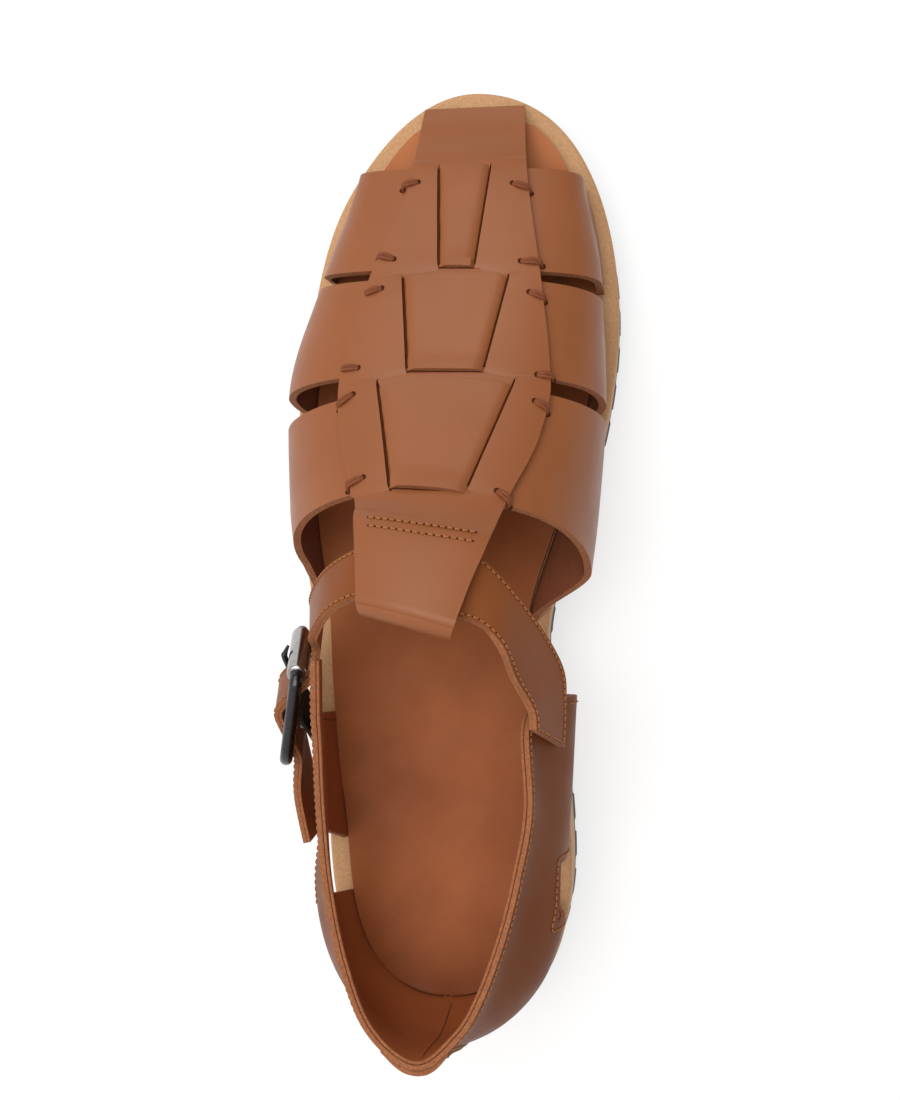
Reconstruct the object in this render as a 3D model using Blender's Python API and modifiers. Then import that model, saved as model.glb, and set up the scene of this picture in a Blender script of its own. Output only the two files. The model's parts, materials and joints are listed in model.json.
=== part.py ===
"""Left fisherman sandal, about EU 42: lugged outsole, midsole, insole, woven vamp, heel quarter,
backstay, ankle strap and a roller buckle on an elastic tab.

The tables and sizes are in millimetres, and MM turns them into Blender's metres. +X is the medial
side, +Y points to the toe and +Z is up. The origin is on the floor under the middle of the heel.
"""

import bisect
import math
from collections import namedtuple
from functools import lru_cache

import bmesh
import bpy
from mathutils import Vector

MM = 0.001
GAP = 0.3
FOOT_GAP = 0.5

# Sole
HEEL_END = -28.5
TOE_END = 257.0
SOLE_STATIONS = 44
OUTSOLE_THICKNESS = 7.0
LUG_DEPTH = 3.5
LUG_LENGTH = 7.2
LUG_PITCH = 11.8
LUG_DRAFT = 0.7
LUG_PROUD = 0.2
CHANNELS = ((0.30, 0.36), (0.64, 0.70))
MIDSOLE_CHAMFER = 1.2
INSOLE_THICKNESS = 3.0

# Each row is a section across the sole. lateral and medial are widths over an ellipse of the
# sole's length, rim is the ledge outside the insole, floor and top are heights.
SoleRow = namedtuple("SoleRow", "y axis lateral medial rim floor top")
SOLE_ROWS = (
    SoleRow(-28.5, 0.0, 67.0, 67.0, 11.0, 1.2, 30.0),
    SoleRow(-14.0, 0.0, 60.0, 62.0, 8.4, 0.0, 29.7),
    SoleRow(8.0, 0.0, 51.5, 53.5, 6.4, 0.0, 29.2),
    SoleRow(40.0, 0.0, 45.0, 42.0, 6.3, 0.0, 27.5),
    SoleRow(90.0, 0.0, 44.0, 29.8, 6.0, 3.0, 23.0),
    SoleRow(125.0, 0.4, 48.5, 38.5, 6.0, 0.0, 20.5),
    SoleRow(155.0, 1.0, 52.5, 48.5, 6.5, 0.0, 20.0),
    SoleRow(190.0, 2.5, 55.8, 57.5, 6.5, 0.0, 20.0),
    SoleRow(232.0, 5.4, 62.0, 66.0, 6.0, 4.5, 22.5),
    SoleRow(249.0, 6.5, 62.0, 71.2, 5.2, 7.9, 24.9),
    SoleRow(257.0, 7.0, 62.0, 74.0, 11.0, 9.5, 26.0),
)

# The last
LEATHER = 2.2
WEAVE_LIFT = 1.6
RAIL_LEATHER = 2.8
EQUATOR = 0.72
FRONT_SWEEP = 1.0
REAR_SWEEP = 1.8
SLIT_RAMP = 2.2
SLIT_WIDTH = 1.0
UPRIGHT = 0.012

# Each row is a section across the last. lateral and medial are its widest points, ridge and top
# its crown, belly the height of its widest points over the sole, square its squareness.
LastRow = namedtuple("LastRow", "y lateral medial ridge top belly square")
LAST_ROWS = (
    LastRow(80.0, -36.5, 37.0, -3.0, 98.0, 20.0, 0.95),
    LastRow(100.0, -38.8, 40.0, -2.0, 90.0, 19.0, 0.92),
    LastRow(128.0, -43.8, 43.5, 1.0, 76.0, 17.0, 0.88),
    LastRow(160.0, -45.5, 45.5, 3.8, 61.5, 15.0, 0.82),
    LastRow(197.0, -36.0, 44.2, 5.6, 50.0, 12.0, 0.78),
    LastRow(228.0, -25.6, 39.0, 7.6, 39.5, 8.0, 0.66),
    LastRow(243.0, -23.0, 38.0, 7.8, 31.5, 4.0, 0.5),
    LastRow(250.5, -22.0, 37.0, 7.8, 26.2, 0.3, 0.4),
)

# Front and rear edges of each strap at the lateral sole, the crown and the medial sole, then the
# two slits that it comes up through.
StrapRow = namedtuple(
    "StrapRow",
    "front_lateral front_mid front_medial rear_lateral rear_mid rear_medial"
    " left_front left_rear right_front right_rear",
)
STRAP_ROWS = {
    "toe_strap": StrapRow(231.0, 228.0, 226.5, 199.0, 195.5, 195.0, -1.3, 0.2, 14.1, 10.3),
    "ball_strap": StrapRow(193.5, 193.4, 187.0, 156.0, 164.0, 154.5, -10.0, -7.4, 20.1, 13.7),
    "instep_strap": StrapRow(145.0, 161.6, 149.0, 95.0, 129.0, 95.0, -15.7, -9.5, 22.3, 10.6),
}

# The leaf-shaped bar down the middle, from the toe to the loop.
BarRow = namedtuple("BarRow", "y left right")
BAR_ROWS = (
    BarRow(94.0, -13.0, 8.2),
    BarRow(113.0, -16.2, 14.1),
    BarRow(128.0, -19.8, 21.4),
    BarRow(145.0, -25.0, 28.5),
    BarRow(160.0, -26.5, 31.2),
    BarRow(190.0, -20.4, 28.8),
    BarRow(226.0, -9.2, 24.5),
    BarRow(249.8, -7.6, 23.2),
)

# The end of the bar lies over the ankle strap, folds and comes back under it.
LoopRow = namedtuple("LoopRow", "y lift")
LOOP_OVER = (LoopRow(124.0, 2.0), LoopRow(119.5, 3.8), LoopRow(115.4, 5.4), LoopRow(104.0, 5.7))
LOOP_FOLD_Y = 96.5
LOOP_TOP = 5.7
LOOP_BOTTOM = 1.9
LOOP_FOLD_STEPS = 5
LOOP_UNDER = (LoopRow(104.0, 1.8), LoopRow(112.0, 1.4), LoopRow(118.5, 0.8))
LOOP_SKEW = -0.29
LOOP_SKEW_FROM = 128.0
LOOP_SKEW_TO = 113.0
LOOP_MIDDLE_X = -2.4

# Heel quarter: each row is a line from the sole up to the collar. turn runs along the sole's
# outline, negative on the lateral side, and belly is how far the line bows out.
QUARTER_WALL = 2.5
CUT_OUT_TURNS = (0.245, 0.293)
CUT_OUT_RISE = 0.5
NOSE_TURN = 0.364
NOSE_DROP = 0.24
STRIP_TURN = -0.390
STRIP_RISE = 0.8
QuarterRow = namedtuple("QuarterRow", "turn collar_x collar_y collar_z belly")
QUARTER_ROWS = (
    QuarterRow(-0.430, -29.7, 84.0, 77.0, 0.5),
    QuarterRow(-0.390, -29.7, 69.5, 76.3, 1.2),
    QuarterRow(-0.346, -29.3, 62.0, 76.0, 2.0),
    QuarterRow(-0.296, -28.1, 42.0, 76.5, 2.8),
    QuarterRow(-0.249, -25.4, 22.0, 79.0, 6.3),
    QuarterRow(-0.185, -20.4, 3.0, 82.5, 6.5),
    QuarterRow(-0.095, -13.0, -12.6, 86.0, 4.6),
    QuarterRow(0.0, -1.3, -20.4, 88.0, 3.0),
    QuarterRow(0.095, 8.3, -13.3, 87.0, 6.0),
    QuarterRow(0.185, 13.8, -4.5, 85.0, 7.4),
    QuarterRow(0.249, 19.3, 10.5, 81.5, 7.8),
    QuarterRow(0.296, 23.2, 26.0, 79.5, 6.6),
    QuarterRow(0.346, 26.4, 46.0, 78.0, 7.8),
    QuarterRow(0.404, 24.3, 72.0, 80.5, 12.6),
)
BACKSTAY_TURN = 0.062
BACKSTAY_LEATHER = 1.2
BACKSTAY_FOOT = 0.12

# Buckle, in its own frame: across along the bars, along the strap, out from the foot.
BUCKLE_PLACE = Vector((-40.4, 84.8, 55.5))
BUCKLE_ACROSS = Vector((-0.135, 0.498, -0.857)).normalized()
BUCKLE_ALONG = Vector((-0.215, -0.861, -0.466)).normalized()
WIRE_RADIUS = 1.9
FRAME_HALF_WIDTH = 14.0
FRAME_LENGTH = 31.0
FRAME_CORNER = 8.0
CENTRE_BAR_RADIUS = 1.3
CENTRE_BAR_ALONG = 15.0
CENTRE_BAR_OUT = -0.4
ROLLER_RADIUS = 2.9
ROLLER_HALF_LENGTH = 11.0
PRONG_RADIUS = 0.9
ELASTIC_HALF_WIDTH = 9.0
ELASTIC_THICKNESS = 1.0
ELASTIC_END = 24.0
ELASTIC_END_OUT = -7.1

# Ankle strap: its middle layer runs under the roller, over the centre bar and under the rear bar.
STRAP_LEATHER = 2.2
STRAP_FRONT_Y = 111.8
STRAP_FRONT_SKEW = -0.10
STRAP_REAR_Y = 97.0
STRAP_REAR_SKEW = -0.23
STRAP_LIFT = LOOP_BOTTOM + 2 * GAP + STRAP_LEATHER / 2
STRAP_CROSSINGS = (14.0, 5.0, -4.0, -14.0)
BILLET_HALF_WIDTH = 9.5
BilletRow = namedtuple("BilletRow", "along out")
BILLET_ROWS = (
    BilletRow(-8.0, -4.7),
    BilletRow(0.0, -4.6),
    BilletRow(2.4, -4.0),
    BilletRow(7.5, -0.4),
    BilletRow(12.7, 3.2),
    BilletRow(15.0, 3.8),
    BilletRow(17.0, 3.4),
    BilletRow(23.2, 0.1),
    BilletRow(29.5, -3.3),
    BilletRow(32.5, -3.8),
)
TailRow = namedtuple("TailRow", "x y z lean")
TAIL_ROWS = (TailRow(-42.6, 45.5, 38.5, 0.30), TailRow(-39.8, 30.5, 38.0, 0.12))


@lru_cache(maxsize=None)
def curve_of(rows, column):
    """A table's column as ys, values and slopes, for a curve that never overshoots the rows."""
    ys = [row.y for row in rows]
    values = [getattr(row, column) for row in rows]
    steps = [(values[k + 1] - values[k]) / (ys[k + 1] - ys[k]) for k in range(len(ys) - 1)]
    slopes = [steps[0]]
    for before, after in zip(steps, steps[1:]):
        slopes.append(0.0 if before * after <= 0 else 2 * before * after / (before + after))
    return ys, values, slopes + [steps[-1]]


def smooth(rows, column, y):
    """A column of a table at y."""
    ys, values, slopes = curve_of(rows, column)
    y = min(max(y, ys[0]), ys[-1])
    i = min(bisect.bisect_right(ys, y), len(ys) - 1) - 1
    span = ys[i + 1] - ys[i]
    t = (y - ys[i]) / span
    rise = values[i] + (values[i + 1] - values[i]) * t * t * (3 - 2 * t)
    return rise + span * t * (1 - t) * (slopes[i] * (1 - t) - slopes[i + 1] * t)


def flowing(points, t):
    """A point at t on the curve through points, where whole numbers of t are the points."""
    last = len(points) - 1
    i = min(max(int(math.floor(t)), 0), last - 1)
    u = t - i
    a, b = points[max(i - 1, 0)], points[i]
    c, d = points[i + 1], points[min(i + 2, last)]
    bend = (b * 3 - a - c * 3 + d) * u + (a * 2 - b * 5 + c * 4 - d)
    return b + ((c - a) + bend * u) * (u / 2)


# Outline of the sole


def outline(turn, inset=0.0):
    """A point of the sole's outline: turn 0 is the heel's back, -1 and 1 are the toe."""

    def edge(at):
        y = (TOE_END + HEEL_END) / 2 - (TOE_END - HEEL_END) / 2 * math.cos(math.pi * at)
        width = smooth(SOLE_ROWS, "lateral" if at < 0 else "medial", y)
        return Vector((smooth(SOLE_ROWS, "axis", y) + width * math.sin(math.pi * at), y, 0))

    step = 1e-4
    here = edge(turn)
    along = (edge(turn + step) - edge(turn - step)).normalized()
    return here - Vector((along.y, -along.x, 0)) * inset


def sole_x(y, side):
    """Half the sole's plan: x of its edge at y."""
    share = 1 - 2 * (y - HEEL_END) / (TOE_END - HEEL_END)
    return outline(side * math.acos(share) / math.pi).x


def rim_point(turn, more=0.0):
    """The foot of an upper: just outside the insole's edge, on the midsole."""
    y = outline(turn).y
    point = outline(turn, smooth(SOLE_ROWS, "rim", y) + more)
    return Vector((point.x, point.y, smooth(SOLE_ROWS, "top", point.y) + FOOT_GAP))


def sole_turns():
    """Where the sole is cut into sections, from the heel to the toe."""
    return [k / SOLE_STATIONS for k in range(1, SOLE_STATIONS)]


# Meshes


def new_object(name, mesh, material):
    obj = bpy.data.objects.new(name, mesh)
    bpy.data.collections[COLLECTION].objects.link(obj)
    mesh.materials.append(material)
    return obj


def finish_mesh(name, bm):
    bmesh.ops.remove_doubles(bm, verts=bm.verts, dist=0.01 * MM)
    mesh = bpy.data.meshes.new(name)
    bm.to_mesh(mesh)
    bm.free()
    mesh.shade_smooth()
    mesh.set_sharp_from_angle(angle=math.radians(35))
    return mesh


def loft(name, rings, material):
    """A closed solid through rings of points, with its two ends capped."""
    bm = bmesh.new()
    levels = [[bm.verts.new(p * MM) for p in ring] for ring in rings]
    count = len(rings[0])
    for low, high in zip(levels, levels[1:]):
        for k in range(count):
            n = (k + 1) % count
            bm.faces.new((low[k], low[n], high[n], high[k]))
    bm.faces.new(levels[0])
    bm.faces.new(levels[-1])
    bmesh.ops.recalc_face_normals(bm, faces=bm.faces)
    return new_object(name, finish_mesh(name, bm), material)


def sheet(name, patches, material):
    """An open surface made of grids of points that join where their points meet."""
    bm = bmesh.new()
    for grid in patches:
        verts = [[bm.verts.new(p * MM) for p in row] for row in grid]
        for low, high in zip(verts, verts[1:]):
            for k in range(len(low) - 1):
                bm.faces.new((low[k], high[k], high[k + 1], low[k + 1]))
    return new_object(name, finish_mesh(name, bm), material)


def thicken(obj, thickness, side=1):
    """Give a sheet its wall: side 1 puts it in front of the faces, -1 behind them, 0 on both sides."""
    wall = obj.modifiers.new("wall", "SOLIDIFY")
    wall.thickness = thickness * MM
    wall.offset = side


def combine(obj, other, operation):
    """Join or cut obj with a helper that is then left out of the part."""
    boolean = obj.modifiers.new(other.name, "BOOLEAN")
    boolean.operation = operation
    boolean.object = other
    other.hide_render = True
    other.display_type = "WIRE"
    bpy.data.collections[COLLECTION].objects.unlink(other)
    bpy.data.collections[HELPERS].objects.link(other)


def wire(name, points, radius, material, closed=False, sides=3):
    """A round wire along points, as a closed mesh."""
    curve = bpy.data.curves.new(name, "CURVE")
    curve.dimensions = "3D"
    curve.bevel_depth = radius * MM
    curve.bevel_resolution = sides
    curve.use_fill_caps = True
    spline = curve.splines.new("POLY")
    spline.points.add(len(points) - 1)
    for point, place in zip(spline.points, points):
        point.co = (*(place * MM), 1)
    spline.use_cyclic_u = closed
    guide = bpy.data.objects.new(name + "_guide", curve)
    bpy.data.collections[COLLECTION].objects.link(guide)
    graph = bpy.context.evaluated_depsgraph_get()
    mesh = bpy.data.meshes.new_from_object(guide.evaluated_get(graph))
    bpy.data.objects.remove(guide)
    bpy.data.curves.remove(curve)
    bm = bmesh.new()
    bm.from_mesh(mesh)
    bpy.data.meshes.remove(mesh)
    bmesh.ops.remove_doubles(bm, verts=bm.verts, dist=0.01 * MM)
    bmesh.ops.recalc_face_normals(bm, faces=bm.faces)
    return new_object(name, finish_mesh(name, bm), material)


def material(name, colour, roughness, metallic=0.0):
    made = bpy.data.materials.new(name)
    made.use_nodes = True
    shader = made.node_tree.nodes["Principled BSDF"]
    shader.inputs["Base Color"].default_value = (*colour, 1)
    shader.inputs["Roughness"].default_value = roughness
    shader.inputs["Metallic"].default_value = metallic
    return made


# Sole pieces


def outsole_ring(y, lug):
    """A section of the outsole: a lug stands proud and low, a groove is flush and high."""
    floor = smooth(SOLE_ROWS, "floor", y)
    proud = LUG_PROUD if lug else 0.0
    left = Vector((sole_x(y, -1) - proud, y, floor))
    right = Vector((sole_x(y, 1) + proud, y, floor))
    roof = Vector((0, 0, LUG_DEPTH))
    raised = Vector((0, 0, 0)) if lug else roof
    ring = [left + Vector((proud, 0, OUTSOLE_THICKNESS)), left + raised]
    for start, end in CHANNELS:
        near, far = left.lerp(right, start), left.lerp(right, end)
        ring += [near + raised, near + roof, far + roof, far + raised]
    return ring + [right + raised, right + Vector((-proud, 0, OUTSOLE_THICKNESS))]


def outsole(rubber):
    """Lugs by a loop along the sole, with a lug under the origin."""
    ends = [outline(t).y for t in sole_turns()]
    first, last = ends[0], ends[-1]
    marks = [(y, True) for y in ends[:5] + ends[-5:]]
    k = math.ceil((ends[4] + LUG_PITCH) / LUG_PITCH)
    while k * LUG_PITCH + LUG_LENGTH < ends[-5]:
        middle = k * LUG_PITCH
        low, high = middle - LUG_LENGTH / 2, middle + LUG_LENGTH / 2
        marks += [(low - LUG_DRAFT, False), (low, True), (high, True), (high + LUG_DRAFT, False)]
        k += 1
    marks.sort()
    rings = [outsole_ring(y, lug) for y, lug in marks if first <= y <= last]
    return loft("outsole", rings, rubber)


def midsole(cork):
    rings = []
    for turn in sole_turns():
        ring = []
        for side in (-1, 1):
            edge, inner = outline(side * turn), outline(side * turn, MIDSOLE_CHAMFER)
            low = smooth(SOLE_ROWS, "floor", edge.y) + OUTSOLE_THICKNESS + FOOT_GAP
            high = smooth(SOLE_ROWS, "top", edge.y)
            wall = [
                Vector((edge.x, edge.y, low)),
                Vector((edge.x, edge.y, high - MIDSOLE_CHAMFER)),
                Vector((inner.x, inner.y, smooth(SOLE_ROWS, "top", inner.y))),
            ]
            ring += wall if side < 0 else wall[::-1]
        rings.append(ring)
    return loft("midsole", rings, cork)


def insole(leather):
    rings = []
    for turn in sole_turns():
        left, right = rim_point(-turn, 2 * GAP), rim_point(turn, 2 * GAP)
        rise = Vector((0, 0, INSOLE_THICKNESS))
        rings.append([left, left + rise, right + rise, right])
    return loft("insole", rings, leather)


# The last and what lies on it


def last_point(y, s):
    """The last's skin: s is -1 at the lateral sole, 0 on the crown and 1 at the medial sole."""
    side = -1 if s < 0 else 1
    row = {column: smooth(LAST_ROWS, column, y) for column in LastRow._fields[1:]}
    widest = row["lateral"] if side < 0 else row["medial"]
    foot_z = smooth(SOLE_ROWS, "top", y) + FOOT_GAP
    belly_z = foot_z + row["belly"]
    if abs(s) <= EQUATOR:
        angle = math.pi / 2 * abs(s) / EQUATOR
        x = row["ridge"] + (widest - row["ridge"]) * math.sin(angle) ** row["square"]
        return Vector((x, y, belly_z + (row["top"] - belly_z) * math.cos(angle) ** row["square"]))
    t = (1 - abs(s)) / (1 - EQUATOR)
    foot_x = sole_x(y, side) - side * smooth(SOLE_ROWS, "rim", y)
    x = foot_x + (widest - foot_x) * t * t * (3 - 2 * t)
    return Vector((x, y, foot_z + (belly_z - foot_z) * t))


def on_last(y, s, lift):
    """A point lifted off the last's skin."""
    step = 0.004
    across = last_point(y, min(s + step, 1)) - last_point(y, max(s - step, -1))
    along = last_point(y + 0.5, s) - last_point(y - 0.5, s)
    return last_point(y, s) + across.cross(along).normalized() * lift


def s_at(y, x):
    """Where on the crown of the section at y the skin is at x."""
    ridge = smooth(LAST_ROWS, "ridge", y)
    side = -1 if x < ridge else 1
    widest = smooth(LAST_ROWS, "lateral" if side < 0 else "medial", y)
    share = min((x - ridge) / (widest - ridge), 1.0)
    angle = math.asin(share ** (1 / smooth(LAST_ROWS, "square", y)))
    return side * EQUATOR * angle / (math.pi / 2)


def between(low, high, count):
    return [low + (high - low) * k / (count - 1) for k in range(count)]


def strap_edge(row, end, s):
    """y of a strap's front or rear edge at s."""
    middle = getattr(row, end + "_mid")
    foot = getattr(row, end + ("_lateral" if s < 0 else "_medial"))
    sweep = FRONT_SWEEP if end == "front" else REAR_SWEEP
    return middle + (foot - middle) * abs(s) ** sweep


def slit_x(row, side, share):
    """x of a slit, share of the way from the strap's front edge to its rear edge."""
    front, rear = getattr(row, side + "_front"), getattr(row, side + "_rear")
    return front + (rear - front) * share


def strap_sheet(name, row, leather):
    """A strap from sole to sole: under the bar's two rails, and over its middle."""
    grid = []
    for share in between(0, 1, 5):
        middle_y = strap_edge(row, "front", 0) * (1 - share) + strap_edge(row, "rear", 0) * share
        left, right = slit_x(row, "left", share), slit_x(row, "right", share)
        left_under, left_over = s_at(middle_y, left - SLIT_RAMP), s_at(middle_y, left + SLIT_RAMP)
        right_over, right_under = s_at(middle_y, right - SLIT_RAMP), s_at(middle_y, right + SLIT_RAMP)
        stops = [(-1, 0.0)] + [(s, 0.0) for s in between(UPRIGHT - 1, left_under, 10)]
        stops += [(s, LEATHER) for s in between(left_over, right_over, 4)]
        stops += [(s, 0.0) for s in between(right_under, 1 - UPRIGHT, 10)] + [(1, 0.0)]
        line = []
        for s, lift in stops:
            y = strap_edge(row, "front", s) * (1 - share) + strap_edge(row, "rear", s) * share
            line.append(on_last(y, s, lift))
        grid.append(line)
    strap = sheet(name, [grid], leather)
    thicken(strap, LEATHER)
    return strap


def bar_point(y, x, lift):
    """A point of the bar; towards the loop its rows lie aslant."""
    slant = min(max((LOOP_SKEW_FROM - y) / (LOOP_SKEW_FROM - LOOP_SKEW_TO), 0), 1)
    turned = y + LOOP_SKEW * (x - LOOP_MIDDLE_X) * slant
    return on_last(turned, s_at(turned, x), lift)


def bar_row(y, slits, rail_lift, tongue_lift):
    """One row across the bar, as a left rail, a tongue and a right rail."""
    left, right = smooth(BAR_ROWS, "left", y), smooth(BAR_ROWS, "right", y)
    left_slit, right_slit = slits or between(left, right, 4)[1:3]
    slack = SLIT_WIDTH / 2 if tongue_lift != rail_lift else 0.0
    spans = (
        (left, left_slit - slack, rail_lift),
        (left_slit + slack, right_slit - slack, tongue_lift),
        (right_slit + slack, right, rail_lift),
    )
    return [[bar_point(y, x, lift) for x in between(low, high, 4)] for low, high, lift in spans]


def bar_rows():
    """The bar from the toe to the end of its loop, row by row."""
    rows = []
    for y in between(BAR_ROWS[-1].y, STRAP_ROWS["toe_strap"].front_mid + 3, 6):
        rows.append(bar_row(y, None, 0.0, 0.0))
    for row in STRAP_ROWS.values():
        for k, share in enumerate(between(0, 1, 7)):
            y = row.front_mid + (row.rear_mid - row.front_mid) * share
            slits = slit_x(row, "left", share), slit_x(row, "right", share)
            tongue = WEAVE_LIFT if k in (0, 6) else 0.0
            rows.append(bar_row(y, slits, WEAVE_LIFT, tongue))
    middle = (LOOP_TOP + LOOP_BOTTOM) / 2
    radius = (LOOP_TOP - LOOP_BOTTOM) / 2
    path = list(LOOP_OVER)
    for angle in between(0, math.pi, LOOP_FOLD_STEPS):
        y = LOOP_FOLD_Y - radius * math.sin(angle)
        path.append(LoopRow(y, middle + radius * math.cos(angle)))
    for stop in path + list(LOOP_UNDER):
        rows.append(bar_row(stop.y, None, stop.lift, stop.lift))
    return rows


def vamp(leather):
    """The woven vamp: the bar with its loop and the three straps, joined where they cross."""
    rows = bar_rows()
    bar = sheet("vamp", [[row[k] for row in rows] for k in range(3)], leather)
    thicken(bar, RAIL_LEATHER)
    for name, row in STRAP_ROWS.items():
        combine(bar, strap_sheet(name, row, leather), "UNION")
    return bar


# Heel quarter


@lru_cache(maxsize=None)
def quarter_lines():
    """The feet, collars and bellies of the quarter's rows, each as a list of points."""
    feet = [rim_point(row.turn) for row in QUARTER_ROWS]
    collars = [Vector((row.collar_x, row.collar_y, row.collar_z)) for row in QUARTER_ROWS]
    bellies = [Vector((row.belly, 0, 0)) for row in QUARTER_ROWS]
    return feet, collars, bellies


def quarter_skin(u, v):
    """The quarter's inside: u counts the table's rows, v is 0 at the sole and 1 at the collar."""
    feet, collars, bellies = quarter_lines()
    foot, collar, belly = flowing(feet, u), flowing(collars, u), flowing(bellies, u).x
    along = (flowing(feet, min(u + 0.1, len(feet) - 1)) - flowing(feet, max(u - 0.1, 0))).normalized()
    out = Vector((along.y, -along.x, 0))
    return foot.lerp(collar, v) + out * belly * math.sin(math.pi * v**0.8) ** 2


def quarter_point(u, v, lift):
    """A point lifted off the quarter's inside."""
    most = len(QUARTER_ROWS) - 1
    along = quarter_skin(min(u + 0.05, most), v) - quarter_skin(max(u - 0.05, 0), v)
    up = quarter_skin(u, min(v + 0.02, 1)) - quarter_skin(u, max(v - 0.02, 0))
    return quarter_skin(u, v) + along.cross(up).normalized() * lift


def u_at_turn(turn):
    """The place among the quarter's rows of a turn along the sole's outline."""
    turns = [row.turn for row in QUARTER_ROWS]
    k = max(i for i in range(len(turns) - 1) if turns[i] <= turn)
    return k + (turn - turns[k]) / (turns[k + 1] - turns[k])


def collar_share(turn):
    """How far up the quarter goes: it dips under the ankle strap's sewn end."""
    dip = max(turn - NOSE_TURN, 0) / (QUARTER_ROWS[-1].turn - NOSE_TURN)
    return 1 - NOSE_DROP * dip * dip


def quarter_stretches():
    """Columns of the quarter from the lateral strip to the medial front, broken where its openings end."""
    low, high = CUT_OUT_TURNS
    ends = (QUARTER_ROWS[0].turn, STRIP_TURN, -high, -low, low, high, QUARTER_ROWS[-1].turn)
    counts = (5, 7, 5, 23, 5, 8)
    return [between(*span) for span in zip(ends, ends[1:], counts)]


def quarter_patch(turns, heights):
    """Part of the wall: heights are shares of the way from the sole to the collar."""
    return [[quarter_skin(u_at_turn(turn), v * collar_share(turn)) for v in heights] for turn in turns]


def quarter(leather):
    """The wall round the heel, with an opening at each side and only a strip at its lateral front."""
    strip, lateral, lateral_opening, heel, medial_opening, medial = quarter_stretches()
    foot = [0.0] + between(UPRIGHT, CUT_OUT_RISE, 5)
    middle = between(CUT_OUT_RISE, STRIP_RISE, 4)
    top = between(STRIP_RISE, 1, 3)
    patches = [quarter_patch(turns, foot) for turns in (lateral, heel, medial)]
    for turns in (lateral, lateral_opening, heel, medial_opening, medial):
        patches += [quarter_patch(turns, middle), quarter_patch(turns, top)]
    patches.append(quarter_patch(strip, top))
    wall = sheet("quarter", patches, leather)
    thicken(wall, QUARTER_WALL)
    return wall


def backstay(leather):
    """The strip over the back seam, from the quarter's own form."""
    grid = []
    for turn in between(-BACKSTAY_TURN, BACKSTAY_TURN, 9):
        u = u_at_turn(turn)
        lift = QUARTER_WALL + 1.5 * GAP
        grid.append([quarter_point(u, v, lift) for v in between(BACKSTAY_FOOT, 1, 7)])
    strip = sheet("backstay", [grid], leather)
    thicken(strip, BACKSTAY_LEATHER)
    return strip


# Ankle strap and buckle


def buckle_out():
    return BUCKLE_ACROSS.cross(BUCKLE_ALONG).normalized()


def buckle_point(across, along, out):
    """A point in the buckle's own frame."""
    return BUCKLE_PLACE + BUCKLE_ACROSS * across + BUCKLE_ALONG * along + buckle_out() * out


AnkleRow = namedtuple("AnkleRow", "front rear")


def ankle_rows():
    """The strap's middle layer, front and rear edge, from its sewn end to the tip of its tail."""
    off = QUARTER_WALL + FOOT_GAP + STRAP_LEATHER / 2
    most = len(QUARTER_ROWS) - 1
    rows = [
        AnkleRow(quarter_point(most - 0.55, 0.66, off), quarter_point(most - 0.32, 1.0, off)),
        AnkleRow(quarter_point(most - 0.15, 0.64, off), quarter_point(most - 0.08, 1.0, off)),
        AnkleRow(Vector((35.4, 82.5, 66.5)), Vector((24.3, 79.8, 86.3))),
        AnkleRow(Vector((27.3, 97.5, 79.6)), Vector((21.4, 88.4, 92.6))),
    ]
    for x in STRAP_CROSSINGS:
        off_middle = x - LOOP_MIDDLE_X
        ys = STRAP_FRONT_Y + STRAP_FRONT_SKEW * off_middle, STRAP_REAR_Y + STRAP_REAR_SKEW * off_middle
        rows.append(AnkleRow(*(on_last(y, s_at(y, x), STRAP_LIFT) for y in ys)))
    rows += [
        AnkleRow(Vector((-27.0, 109.0, 77.0)), Vector((-24.6, 97.0, 88.0))),
        AnkleRow(Vector((-34.6, 101.5, 62.5)), Vector((-31.0, 90.0, 78.5))),
    ]
    for stop in BILLET_ROWS:
        edges = [buckle_point(side * BILLET_HALF_WIDTH, stop.along, stop.out) for side in (1, -1)]
        rows.append(AnkleRow(*edges))
    for stop in TAIL_ROWS:
        middle = Vector((stop.x, stop.y, stop.z))
        across = Vector((0, stop.lean, -1)).normalized() * BILLET_HALF_WIDTH
        rows.append(AnkleRow(middle + across, middle - across))
    return rows


def ankle_strap(leather):
    rows = ankle_rows()
    fronts, rears = [row.front for row in rows], [row.rear for row in rows]
    grid = []
    for t in between(0, len(rows) - 1, 4 * (len(rows) - 1) + 1):
        front, rear = flowing(fronts, t), flowing(rears, t)
        grid.append([front.lerp(rear, share) for share in between(0, 1, 4)])
    strap = sheet("ankle_strap", [grid], leather)
    thicken(strap, STRAP_LEATHER, side=0)
    hole = wire("prong_hole", prong_path(), PRONG_RADIUS + 2 * GAP, leather)
    combine(strap, hole, "DIFFERENCE")
    return strap


def frame_path():
    """A rectangle with its two rear corners rounded."""
    corners = (
        (FRAME_HALF_WIDTH - FRAME_CORNER, FRAME_LENGTH - FRAME_CORNER, 0),
        (-FRAME_HALF_WIDTH + FRAME_CORNER, FRAME_LENGTH - FRAME_CORNER, 90),
    )
    flat = [(-FRAME_HALF_WIDTH, 0.0), (FRAME_HALF_WIDTH, 0.0)]
    flat += [(FRAME_HALF_WIDTH, along) for along in between(0, FRAME_LENGTH - FRAME_CORNER, 5)[1:-1]]
    for across, along, start in corners:
        for angle in between(start, start + 90, 5):
            turn = math.radians(angle)
            flat.append((across + FRAME_CORNER * math.cos(turn), along + FRAME_CORNER * math.sin(turn)))
    flat += [(-FRAME_HALF_WIDTH, along) for along in between(FRAME_LENGTH - FRAME_CORNER, 0, 5)[1:-1]]
    return [buckle_point(across, along, 0) for across, along in flat]


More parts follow.
